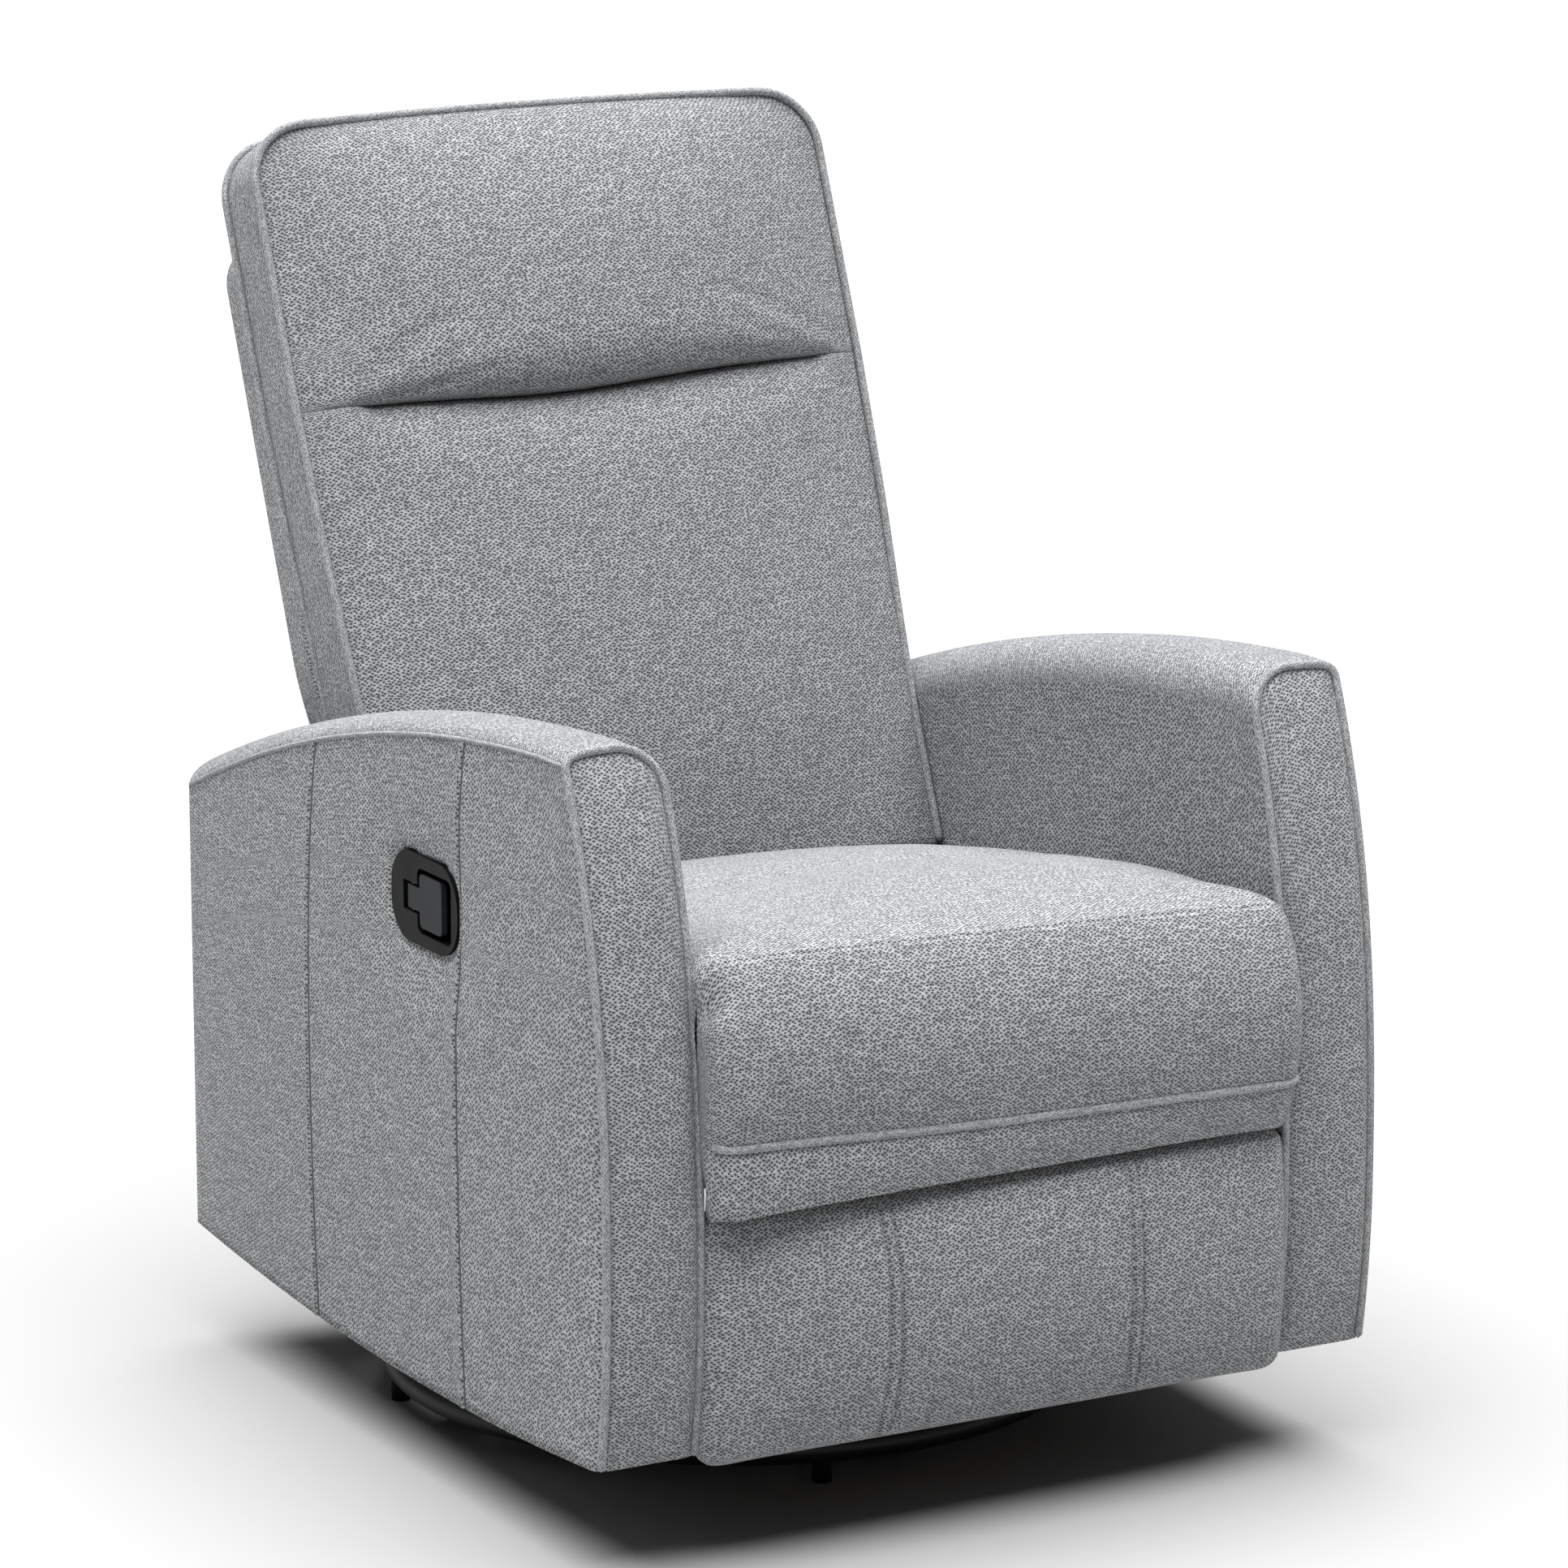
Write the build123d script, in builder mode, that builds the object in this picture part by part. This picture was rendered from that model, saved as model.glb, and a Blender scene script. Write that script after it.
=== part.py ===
from build123d import *
import os
from math import atan2, cos, degrees, radians, sin, tan

# A manual swivel glider recliner. Millimetres. The origin is on the floor at the swivel axis,
# the chair faces -Y, +X is to the right as seen from the front, and +Z is up.

os.makedirs("parts", exist_ok=True)

# Fits
running_gap = 0.05
layer_gap = 1.0
seat_gap = 0.1
soft_gap = 0.3

# Floor base
base_setback = 27.0
ring_radius = 289.0
ring_tube = 25.0
foot_height = 16.0
foot_radius = 8.0
foot_count = 4
foot_turn = 75.0
foot_saddle = 5.0
base_bar_width = 40.0
base_bar_height = 12.0

# Swivel bearing
swivel_plate_radius = 95.0
swivel_plate_thickness = 4.0
ball_radius = 4.0
ball_count = 20
ball_circle_radius = 76.0
ball_gap = 0.15
king_bolt_radius = 8.0
king_bolt_head_radius = 15.0
king_bolt_head_height = 7.0

# Glide carriage and links
plate_thickness = 4.0
link_thickness = 5.0
mechanism_width = 74.0
carriage_bar_width = 30.0
carriage_bar_height = 20.0
carriage_bar_offset = 55.0
glide_pivot_y = 110.0
glide_hanger_height = 250.0
glide_link_length = 130.0
glide_link_width = 28.0
glide_pin_radius = 6.0

# Seat
seat_pitch = 9.0
seat_half_width = 264.0
front_rail_y = -400.0
seat_length = 550.0
rail_thickness = 22.0
side_rail_thickness = 26.0
rail_height = 40.0
front_rail_bottom = 310.0
deck_front_height = 414.7
spring_wire_radius = 2.0
spring_count = 5
spring_spacing = 85.0
spring_half_width = 22.0
spring_pitch = 24.0
spring_bend_radius = 10.8
cushion_side_height = 74.0
cushion_crown = 20.0
cushion_end_drop = 10.0
cushion_end_crown = 8.0
cushion_end_run = 165.0
cushion_draw_in = 5.0
cushion_corner = 14.0
cushion_clearance = 3.0
front_roll_bottom = 295.0
front_roll_seam = 338.0
front_roll_top = 476.0
front_roll_bulge = 41.0
front_roll_draw_in = 9.0
front_roll_flap = 18.0
front_roll_lip = 4.0
front_roll_end_run = 130.0

# Arms
arm_thickness = 86.0
arm_bottom = 90.0
arm_back = 352.0
arm_front_low = -394.0
arm_front_bulge = -404.0
arm_front_bulge_height = 235.0
arm_front_knee = -395.0
arm_front_knee_height = 420.0
arm_front_shoulder = -376.0
arm_front_shoulder_height = 530.0
arm_top_front = -340.0
arm_height_front = 648.0
arm_height_middle = 606.0
arm_height_back = 497.0
arm_edge_round = 12.0
arm_padding = 16.0
arm_side_padding = 12.0
arm_rim_width = 45.0
arm_cross_rail_thickness = 20.0
arm_cross_rail_height = 60.0
arm_bolt_radius = 4.0
arm_bolt_head_radius = 8.0
arm_bolt_head_height = 4.0
arm_bolt_count = 3
arm_bolt_spacing = 200.0
rear_panel_thickness = 22.0
rear_panel_inset = 12.0
rear_panel_height = 380.0
rear_panel_round = 7.0

# Release handle in the left arm
cup_y = -99.0
cup_z = 480.0
cup_length = 118.0
cup_height = 74.0
cup_corner = 33.0
cup_flange_thickness = 4.0
cup_flange_margin = 7.0
cup_depth = 32.0
cup_floor = 4.0
finger_pocket_length = 60.0
finger_pocket_height = 53.0
finger_pocket_rear = 12.0
stem_pocket_length = 25.0
stem_pocket_height = 24.0
stem_pocket_depth = 14.0
paddle_length = 39.0
paddle_height = 44.0
paddle_thickness = 5.0
paddle_rear = 9.0
paddle_stem_height = 19.0
paddle_recess = 0.5
paddle_pivot = 27.0
paddle_boss_radius = 4.5
paddle_pin_radius = 2.0
paddle_pin_engagement = 4.0
cable_radius = 2.5
cable_route_y = 45.0
cable_route_z = 245.0
cable_exit_y = 16.0
cable_exit_run = 18.0
cable_sweep_back = 30.0
cable_sweep_drop = 100.0
cable_wall_drop = 60.0
cable_bends = (8.0, 30.0, 30.0, 14.0)

# Back
back_tilt = 22.0
back_base_y = 133.0
back_base_z = 392.0
recline_axis_y = 205.0
recline_axis_z = 330.0
recline_pin_radius = 6.0
recline_lobe_radius = 16.0
back_depth = 62.0
back_clearance = 5.0
back_flare = 10.0
back_length = 700.0
lumbar_start = 16.0
crease_height = 450.0
crease_gap = 0.6
lumbar_foot_crown = 17.0
lumbar_crown = 42.0
lumbar_upper_crown = 38.0
lumbar_top_crown = 8.0
lumbar_end_run = 130.0
head_foot_crown = 22.0
head_crown = 44.0
head_upper_crown = 35.2
head_top_crown = 4.4
head_end_run = 74.91
back_corner = 18.0
head_outline_radius = 52.0
webbing_thickness = 2.0
webbing_width = 50.0
webbing_count = 5
back_frame_thickness = 20.0
back_frame_inset = 8.0
back_frame_start = -6.0
back_frame_length = 590.0
back_frame_rail = 40.0
outer_back_start = 12.0
outer_back_length = 605.0
outer_back_wall = 6.0
outer_back_round = 10.0
outer_back_corner = 60.0
back_bracket_width = 20.0
back_bracket_reach = 140.0

# Footrest mechanism, in the side view (Y, Z) with the footrest closed
drive_axis_y = -176.0
drive_axis_z = 316.0
drive_tube_radius = 11.0
drive_tube_wall = 2.5
swing_length = 200.0
swing_angle = 282.0
carrier_reach = 241.6
carrier_angle = 160.7
carrier_knee_back = 40.0
carrier_knee_drop = 70.0
idler_spacing = 50.0
crank_length = 40.0
crank_angle = 293.7
footrest_link_width = 22.0
carrier_width = 18.0
control_width = 20.0
footrest_pin_radius = 4.0

# Footrest
footrest_clearance = 3.0
footrest_bottom = 90.0
footrest_top = 288.0
footrest_board_thickness = 12.0
footrest_board_margin = 8.0
footrest_board_back = -380.0
footrest_pad = 20.0
footrest_crown = 22.0
footrest_end_crown = 11.0
footrest_side_sink = 4.0
footrest_end_sink = 2.0
footrest_draw_in = 3.0
footrest_corner = 12.0
footrest_seam_x = 115.0
footrest_channel = 5.0
bracket_pad_radius = 6.0
bracket_pad_reach = 18.0
bracket_lobe_radius = 11.0

sides = {"left": -1, "right": 1}


def save(piece, label):
    """Label a finished piece and write it as one file."""
    piece.part.label = label
    export_step(piece.part, f"parts/{label}.step")


def side_plane(x):
    """Plane that faces +X at the given x, with Y across and Z up."""
    return Plane(origin=(x, 0, 0), x_dir=(0, 1, 0), z_dir=(1, 0, 0))


def slab_plane(side, layer):
    """Side plane at the lower x face of a slab that spans a layer (near, far) on one side."""
    near, far = layer
    return side_plane(near if side > 0 else -far)


def depth(layer):
    """Thickness of a layer."""
    return layer[1] - layer[0]


def stacked(inner, thickness):
    """Layer of the given thickness, one side clearance outside the layer before it."""
    return (inner[1] + layer_gap, inner[1] + layer_gap + thickness)


def polar(start, length, angle):
    """Point at a length and an angle from a start point."""
    return (start[0] + length * cos(radians(angle)), start[1] + length * sin(radians(angle)))


def bar_outline(points, width):
    """Flat bar with round ends through the given points, drawn in the open sketch."""
    for start, end in zip(points, points[1:]):
        run = Vector(*end) - Vector(*start)
        with Locations((Vector(*start) + Vector(*end)) / 2):
            SlotCenterToCenter(run.length, width, rotation=degrees(atan2(run.Y, run.X)))


def holes(points, radius):
    """Pin holes at the given points, cut from the open sketch with a running fit."""
    with Locations(*points):
        Circle(radius + running_gap, mode=Mode.SUBTRACT)


def deck(y):
    """Height of the pitched seat deck, where the cushion rests, at the given y."""
    return deck_front_height - tan(radians(seat_pitch)) * (y - front_rail_y)


def crowned_outline(half_width, base, side, crown, corner):
    """Closed outline in the open line: flat base, straight sides, round corners, crowned face.

    base and side are the local heights of the flat base and of the crowned face's edge.
    """
    way = 1 if side > base else -1
    shoulder = side - way * corner
    lean = corner * (1 - cos(radians(45)))
    Line((-half_width, base), (half_width, base))
    Line((half_width, base), (half_width, shoulder))
    ThreePointArc(
        (half_width, shoulder), (half_width - lean, side - way * lean), (half_width - corner, side)
    )
    ThreePointArc((half_width - corner, side), (0, side + way * crown), (corner - half_width, side))
    ThreePointArc(
        (corner - half_width, side), (lean - half_width, side - way * lean), (-half_width, shoulder)
    )
    Line((-half_width, shoulder), (-half_width, base))


# Half widths of what stands between the arms
carriage_half_width = seat_half_width - mechanism_width
back_low_half_width = seat_half_width - back_clearance
back_top_half_width = back_low_half_width + back_flare
back_frame_half_width = back_low_half_width - back_frame_inset
footrest_half_width = seat_half_width - footrest_clearance

# Layers of the mechanism on each side, from the middle of the chair outwards
upright_layer = (carriage_half_width, carriage_half_width + plate_thickness)
glide_layer = stacked(upright_layer, link_thickness)
plate_layer = stacked(glide_layer, plate_thickness)
swing_layer = stacked(plate_layer, link_thickness)
carrier_layer = stacked(swing_layer, link_thickness)
bracket_layer = stacked(carrier_layer, link_thickness)
control_layer = stacked(bracket_layer, link_thickness)
side_rail_layer = (seat_half_width - side_rail_thickness, seat_half_width)
arm_layer = (seat_half_width, seat_half_width + arm_thickness)
arm_frame_layer = (arm_layer[0] + arm_side_padding, arm_layer[1] - arm_side_padding)
arm_cross_rail_layer = (arm_frame_layer[0], arm_frame_layer[0] + arm_cross_rail_thickness)

# Heights of the base and the swivel
ring_height = foot_height + ring_tube / 2
base_bar_bottom = ring_height - base_bar_height / 2
lower_plate_bottom = ring_height + base_bar_height / 2
lower_plate_top = lower_plate_bottom + swivel_plate_thickness
ball_height = lower_plate_top + ball_gap + ball_radius
upper_plate_bottom = ball_height + ball_radius + ball_gap
upper_plate_top = upper_plate_bottom + swivel_plate_thickness
base_plane = Plane((0, base_setback, 0))

# Seat lines
front_rail_back = front_rail_y + rail_thickness
seat_back = front_rail_y + seat_length
rear_rail_front = seat_back - rail_thickness

# Footrest pivots with the footrest closed
drive_axis = (drive_axis_y, drive_axis_z)
swing_end = polar(drive_axis, swing_length, swing_angle)
footrest_hinge = polar(swing_end, carrier_reach, carrier_angle)
carrier_knee = (footrest_hinge[0] + carrier_knee_back, footrest_hinge[1] - carrier_knee_drop)
idler_axis = polar(drive_axis, idler_spacing, carrier_angle + 180)
idler_end = polar(swing_end, idler_spacing, carrier_angle + 180)
crank_end = polar(swing_end, crank_length, crank_angle)
control_end = polar(footrest_hinge, crank_length, crank_angle)

recline_axis = (recline_axis_y, recline_axis_z)
glide_lower_height = glide_hanger_height - glide_link_length
glide_lower_pivots = [(-glide_pivot_y, glide_lower_height), (glide_pivot_y, glide_lower_height)]
glide_hanger_pivots = [(-glide_pivot_y, glide_hanger_height), (glide_pivot_y, glide_hanger_height)]


# Floor base: a bent tube ring with welded flat bars, on moulded feet
with BuildPart() as base_ring:
    with Locations((0, base_setback, ring_height)):
        Torus(ring_radius, ring_tube / 2)
save(base_ring, "base_ring")

with BuildPart() as base_cross_bar:
    with BuildSketch(base_plane.offset(base_bar_bottom)):
        Rectangle(2 * ring_radius, base_bar_width)
        Circle(king_bolt_radius + running_gap, mode=Mode.SUBTRACT)
    extrude(amount=base_bar_height)
    with Locations((0, base_setback, ring_height)):
        Torus(ring_radius, ring_tube / 2 + seat_gap, mode=Mode.SUBTRACT)
save(base_cross_bar, "base_cross_bar")

with BuildPart() as base_half_bars:
    half_bar_length = ring_radius - base_bar_width / 2
    with BuildSketch(base_plane.offset(base_bar_bottom)):
        with Locations(
            (0, base_bar_width / 2 + half_bar_length / 2), (0, -base_bar_width / 2 - half_bar_length / 2)
        ):
            Rectangle(base_bar_width, half_bar_length)
    extrude(amount=base_bar_height)
    with Locations((0, base_setback, ring_height)):
        Torus(ring_radius, ring_tube / 2 + seat_gap, mode=Mode.SUBTRACT)
save(base_half_bars, "base_half_bars")

with BuildPart() as base_feet:
    with BuildSketch(base_plane):
        with PolarLocations(ring_radius, foot_count, start_angle=foot_turn):
            Circle(foot_radius)
    extrude(amount=foot_height + foot_saddle)
    with Locations((0, base_setback, ring_height)):
        Torus(ring_radius, ring_tube / 2 + seat_gap, mode=Mode.SUBTRACT)
save(base_feet, "base_feet")


# Swivel bearing: two plates with balls between them, on a king bolt
with BuildPart() as swivel_lower_plate:
    with BuildSketch(base_plane.offset(lower_plate_bottom)):
        Circle(swivel_plate_radius)
        Circle(king_bolt_radius + running_gap, mode=Mode.SUBTRACT)
    extrude(amount=swivel_plate_thickness)
save(swivel_lower_plate, "swivel_lower_plate")

with BuildPart() as swivel_king_bolt:
    with BuildSketch(base_plane.offset(base_bar_bottom)):
        Circle(king_bolt_radius)
    extrude(amount=upper_plate_top + soft_gap - base_bar_bottom)
    with BuildSketch(base_plane.offset(upper_plate_top + soft_gap)):
        RegularPolygon(king_bolt_head_radius, 6)
    extrude(amount=king_bolt_head_height)
save(swivel_king_bolt, "swivel_king_bolt")

with BuildPart() as swivel_upper_plate:
    with BuildSketch(base_plane.offset(upper_plate_bottom)):
        Circle(swivel_plate_radius)
        Circle(king_bolt_radius + running_gap, mode=Mode.SUBTRACT)
    extrude(amount=swivel_plate_thickness)
save(swivel_upper_plate, "swivel_upper_plate")

with BuildPart() as swivel_balls:
    with Locations((0, base_setback, ball_height)):
        with PolarLocations(ball_circle_radius, ball_count):
            Sphere(ball_radius)
save(swivel_balls, "swivel_balls")


# Glide carriage: two cross bars on the swivel carry two uprights, from which the links hang
with BuildPart() as carriage_bars:
    with BuildSketch(base_plane.offset(upper_plate_top)):
        with Locations((0, carriage_bar_offset), (0, -carriage_bar_offset)):
            Rectangle(2 * carriage_half_width, carriage_bar_width)
    extrude(amount=carriage_bar_height)
save(carriage_bars, "carriage_bars")

for name, side in sides.items():
    upright_foot = carriage_bar_offset + carriage_bar_width / 2
    with BuildPart() as carriage_upright:
        with BuildSketch(slab_plane(side, upright_layer)):
            with Locations(*glide_hanger_pivots):
                Circle(glide_link_width / 2)
            with Locations((base_setback, upper_plate_top + carriage_bar_height / 2)):
                Rectangle(2 * upright_foot, carriage_bar_height)
            make_hull()
            holes(glide_hanger_pivots, glide_pin_radius)
        extrude(amount=plate_thickness)
    save(carriage_upright, f"carriage_upright_{name}")

with BuildPart() as glide_hanger_pins:
    for side in sides.values():
        pin_layer = (upright_layer[0], glide_layer[1])
        with BuildSketch(slab_plane(side, pin_layer)):
            with Locations(*glide_hanger_pivots):
                Circle(glide_pin_radius)
        extrude(amount=depth(pin_layer))
save(glide_hanger_pins, "glide_hanger_pins")

for end, pivots in {
    "front": (glide_hanger_pivots[0], glide_lower_pivots[0]),
    "rear": (glide_hanger_pivots[1], glide_lower_pivots[1]),
}.items():
    for name, side in sides.items():
        with BuildPart() as glide_link:
            with BuildSketch(slab_plane(side, glide_layer)):
                bar_outline(pivots, glide_link_width)
                holes(pivots, glide_pin_radius)
            extrude(amount=link_thickness)
        save(glide_link, f"glide_link_{end}_{name}")


# Mechanism plates: pressed steel, hung on the glide links, with a flange under the seat rail
def rail_bottom(y):
    """Underside of the pitched side rails at the given y."""
    return deck(y) - rail_height


plate_front = drive_axis[0] - 2 * drive_tube_radius
plate_foot = glide_pivot_y + glide_link_width / 2
plate_foot_height = glide_lower_height - glide_link_width / 2
neck_foot = (seat_back + recline_lobe_radius, plate_foot_height + glide_link_length)

for name, side in sides.items():
    with BuildPart() as mechanism_plate:
        with BuildSketch(slab_plane(side, plate_layer)):
            Polygon(
                (plate_front, rail_bottom(plate_front)),
                (plate_front, drive_axis[1] - 2 * drive_tube_radius),
                (-plate_foot, plate_foot_height),
                (plate_foot, plate_foot_height),
                neck_foot,
                (seat_back, rail_bottom(seat_back)),
                align=None,
            )
            bar_outline([neck_foot, recline_axis], 2 * recline_lobe_radius)
            holes([drive_axis], drive_tube_radius)
            holes([idler_axis], footrest_pin_radius)
            holes([recline_axis], recline_pin_radius)
            holes(glide_lower_pivots, glide_pin_radius)
        extrude(amount=plate_thickness)
        flange_layer = (plate_layer[1], seat_half_width)
        with BuildSketch(slab_plane(side, flange_layer)):
            Polygon(
                (plate_front, rail_bottom(plate_front)),
                (plate_front, rail_bottom(plate_front) - plate_thickness),
                (seat_back, rail_bottom(seat_back) - plate_thickness),
                (seat_back, rail_bottom(seat_back)),
                align=None,
            )
        extrude(amount=depth(flange_layer))
    save(mechanism_plate, f"mechanism_plate_{name}")

with BuildPart() as mechanism_pins:
    for side in sides.values():
        glide_pin_layer = (glide_layer[0], plate_layer[1])
        with BuildSketch(slab_plane(side, glide_pin_layer)):
            with Locations(*glide_lower_pivots):
                Circle(glide_pin_radius)
        extrude(amount=depth(glide_pin_layer))
        link_pin_layer = (plate_layer[0], swing_layer[1])
        with BuildSketch(slab_plane(side, link_pin_layer)):
            with Locations(idler_axis):
                Circle(footrest_pin_radius)
            with Locations(recline_axis):
                Circle(recline_pin_radius)
        extrude(amount=depth(link_pin_layer))
save(mechanism_pins, "mechanism_pins")


# Seat frame: hardwood rails pitched down to the back, with zigzag wire springs between them
bolt_middle = (front_rail_back + seat_back) / 2
bolt_places = [
    bolt_middle + (row - (arm_bolt_count - 1) / 2) * arm_bolt_spacing for row in range(arm_bolt_count)
]
arm_bolt_points = [(y, deck(y) - rail_height / 2) for y in bolt_places]

with BuildPart() as seat_side_rails:
    for side in sides.values():
        with BuildSketch(slab_plane(side, side_rail_layer)):
            Polygon(
                (front_rail_back, deck(front_rail_back)),
                (front_rail_back, rail_bottom(front_rail_back)),
                (seat_back, rail_bottom(seat_back)),
                (seat_back, deck(seat_back)),
                align=None,
            )
            holes(arm_bolt_points, arm_bolt_radius)
        extrude(amount=side_rail_thickness)
save(seat_side_rails, "seat_side_rails")

with BuildPart() as seat_front_rail:
    with BuildSketch(side_plane(-seat_half_width)):
        Polygon(
            (front_rail_y, deck(front_rail_y)),
            (front_rail_y, front_rail_bottom),
            (front_rail_back, front_rail_bottom),
            (front_rail_back, deck(front_rail_back)),
            align=None,
        )
    extrude(amount=2 * seat_half_width)
save(seat_front_rail, "seat_front_rail")

with BuildPart() as seat_rear_rail:
    with BuildSketch(side_plane(-side_rail_layer[0])):
        Polygon(
            (rear_rail_front, deck(rear_rail_front)),
            (rear_rail_front, rail_bottom(rear_rail_front)),
            (seat_back, rail_bottom(seat_back)),
            (seat_back, deck(seat_back)),
            align=None,
        )
    extrude(amount=2 * side_rail_layer[0])
save(seat_rear_rail, "seat_rear_rail")

spring_plane = Plane(
    origin=(0, front_rail_back, deck(front_rail_back) - spring_wire_radius / cos(radians(seat_pitch))),
    x_dir=(1, 0, 0),
    z_dir=(0, sin(radians(seat_pitch)), cos(radians(seat_pitch))),
)
spring_start = 2 * spring_wire_radius * sin(radians(seat_pitch))
spring_end = (rear_rail_front - front_rail_back) / cos(radians(seat_pitch)) - spring_start
spring_turns = int((spring_end - spring_start) / spring_pitch) - 1
spring_lead = (spring_end - spring_start - (spring_turns - 1) * spring_pitch) / 2


def zigzag(middle):
    """Points of one sinuous spring: a straight lead, legs across and back, and a lead out."""
    points = [(middle, spring_start)]
    reach = spring_half_width
    step = spring_start + spring_lead
    points.append((middle, step))
    for turn in range(spring_turns - 1):
        points.append((middle + reach, step))
        step += spring_pitch
        points.append((middle + reach, step))
        reach = -reach
    points.append((middle, step))
    points.append((middle, spring_end))
    return points


with BuildPart() as seat_springs:
    for row in range(spring_count):
        middle = (row - (spring_count - 1) / 2) * spring_spacing
        with BuildLine(spring_plane) as wire:
            FilletPolyline(*zigzag(middle), radius=spring_bend_radius)
        with BuildSketch(Plane(origin=wire.line @ 0, z_dir=wire.line % 0)):
            Circle(spring_wire_radius)
        sweep(path=wire.line)
save(seat_springs, "seat_springs")


# Seat cushion: crowned both ways, with its sides drawn in between the corners
with BuildPart() as seat_cushion:
    cushion_half_width = seat_half_width - cushion_clearance
    cushion_end_height = cushion_side_height - cushion_end_drop
    for station, height, crown, draw_in in (
        (front_rail_y, cushion_end_height, cushion_end_crown, 0),
        (front_rail_y + cushion_end_run, cushion_side_height, cushion_crown, cushion_draw_in),
        (seat_back - cushion_end_run, cushion_side_height, cushion_crown, cushion_draw_in),
        (seat_back, cushion_end_height, cushion_end_crown, 0),
    ):
        with BuildSketch(Plane.XZ.offset(-station)):
            with BuildLine():
                crowned_outline(
                    cushion_half_width - draw_in, deck(station), deck(station) + height, crown, cushion_corner
                )
            make_face()
    loft()
save(seat_cushion, "seat_cushion")

# Padded seat front: rolls over the front rail to a seam, and ends in a short flap
with BuildPart() as seat_front_roll:
    roll_half_width = seat_half_width - cushion_clearance
    roll_seam_y = front_rail_y - front_roll_flap - front_roll_lip
    for station, bulge in (
        (-roll_half_width, front_roll_bulge - front_roll_draw_in),
        (front_roll_end_run - roll_half_width, front_roll_bulge),
        (roll_half_width - front_roll_end_run, front_roll_bulge),
        (roll_half_width, front_roll_bulge - front_roll_draw_in),
    ):
        with BuildSketch(side_plane(station)):
            with BuildLine():
                Line((front_rail_y, front_roll_bottom), (front_rail_y, front_roll_top))
                ThreePointArc(
                    (front_rail_y, front_roll_top),
                    (front_rail_y - bulge, (front_roll_top + front_roll_seam) / 2),
                    (roll_seam_y, front_roll_seam),
                )
                Line((roll_seam_y, front_roll_seam), (front_rail_y - front_roll_flap, front_roll_bottom))
                Line((front_rail_y - front_roll_flap, front_roll_bottom), (front_rail_y, front_roll_bottom))
            make_face()
    loft()
save(seat_front_roll, "seat_front_roll")


# Arms: a wooden frame inside a padded cover that is open underneath
def arm_outline():
    """Side outline of an arm in the open line: bowed front, top falling to the back."""
    Line((arm_back, arm_bottom), (arm_front_low, arm_bottom))
    knee = (arm_front_knee, arm_front_knee_height)
    shoulder = (arm_front_shoulder, arm_front_shoulder_height)
    low = ThreePointArc((arm_front_low, arm_bottom), (arm_front_bulge, arm_front_bulge_height), knee)
    middle = TangentArc(knee, shoulder, tangent=low % 1)
    TangentArc(shoulder, (arm_top_front, arm_height_front), tangent=middle % 1)
    ThreePointArc(
        (arm_top_front, arm_height_front),
        ((arm_top_front + arm_back) / 2, arm_height_middle),
        (arm_back, arm_height_back),
    )
    Line((arm_back, arm_height_back), (arm_back, arm_bottom))


cup_body_length = cup_length - 2 * cup_flange_margin
cup_body_height = cup_height - 2 * cup_flange_margin
cup_body_corner = cup_corner - cup_flange_margin
cup_face = -arm_layer[1]
cup_seat = cup_face + cup_flange_thickness
cup_back = cup_face + cup_depth

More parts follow.
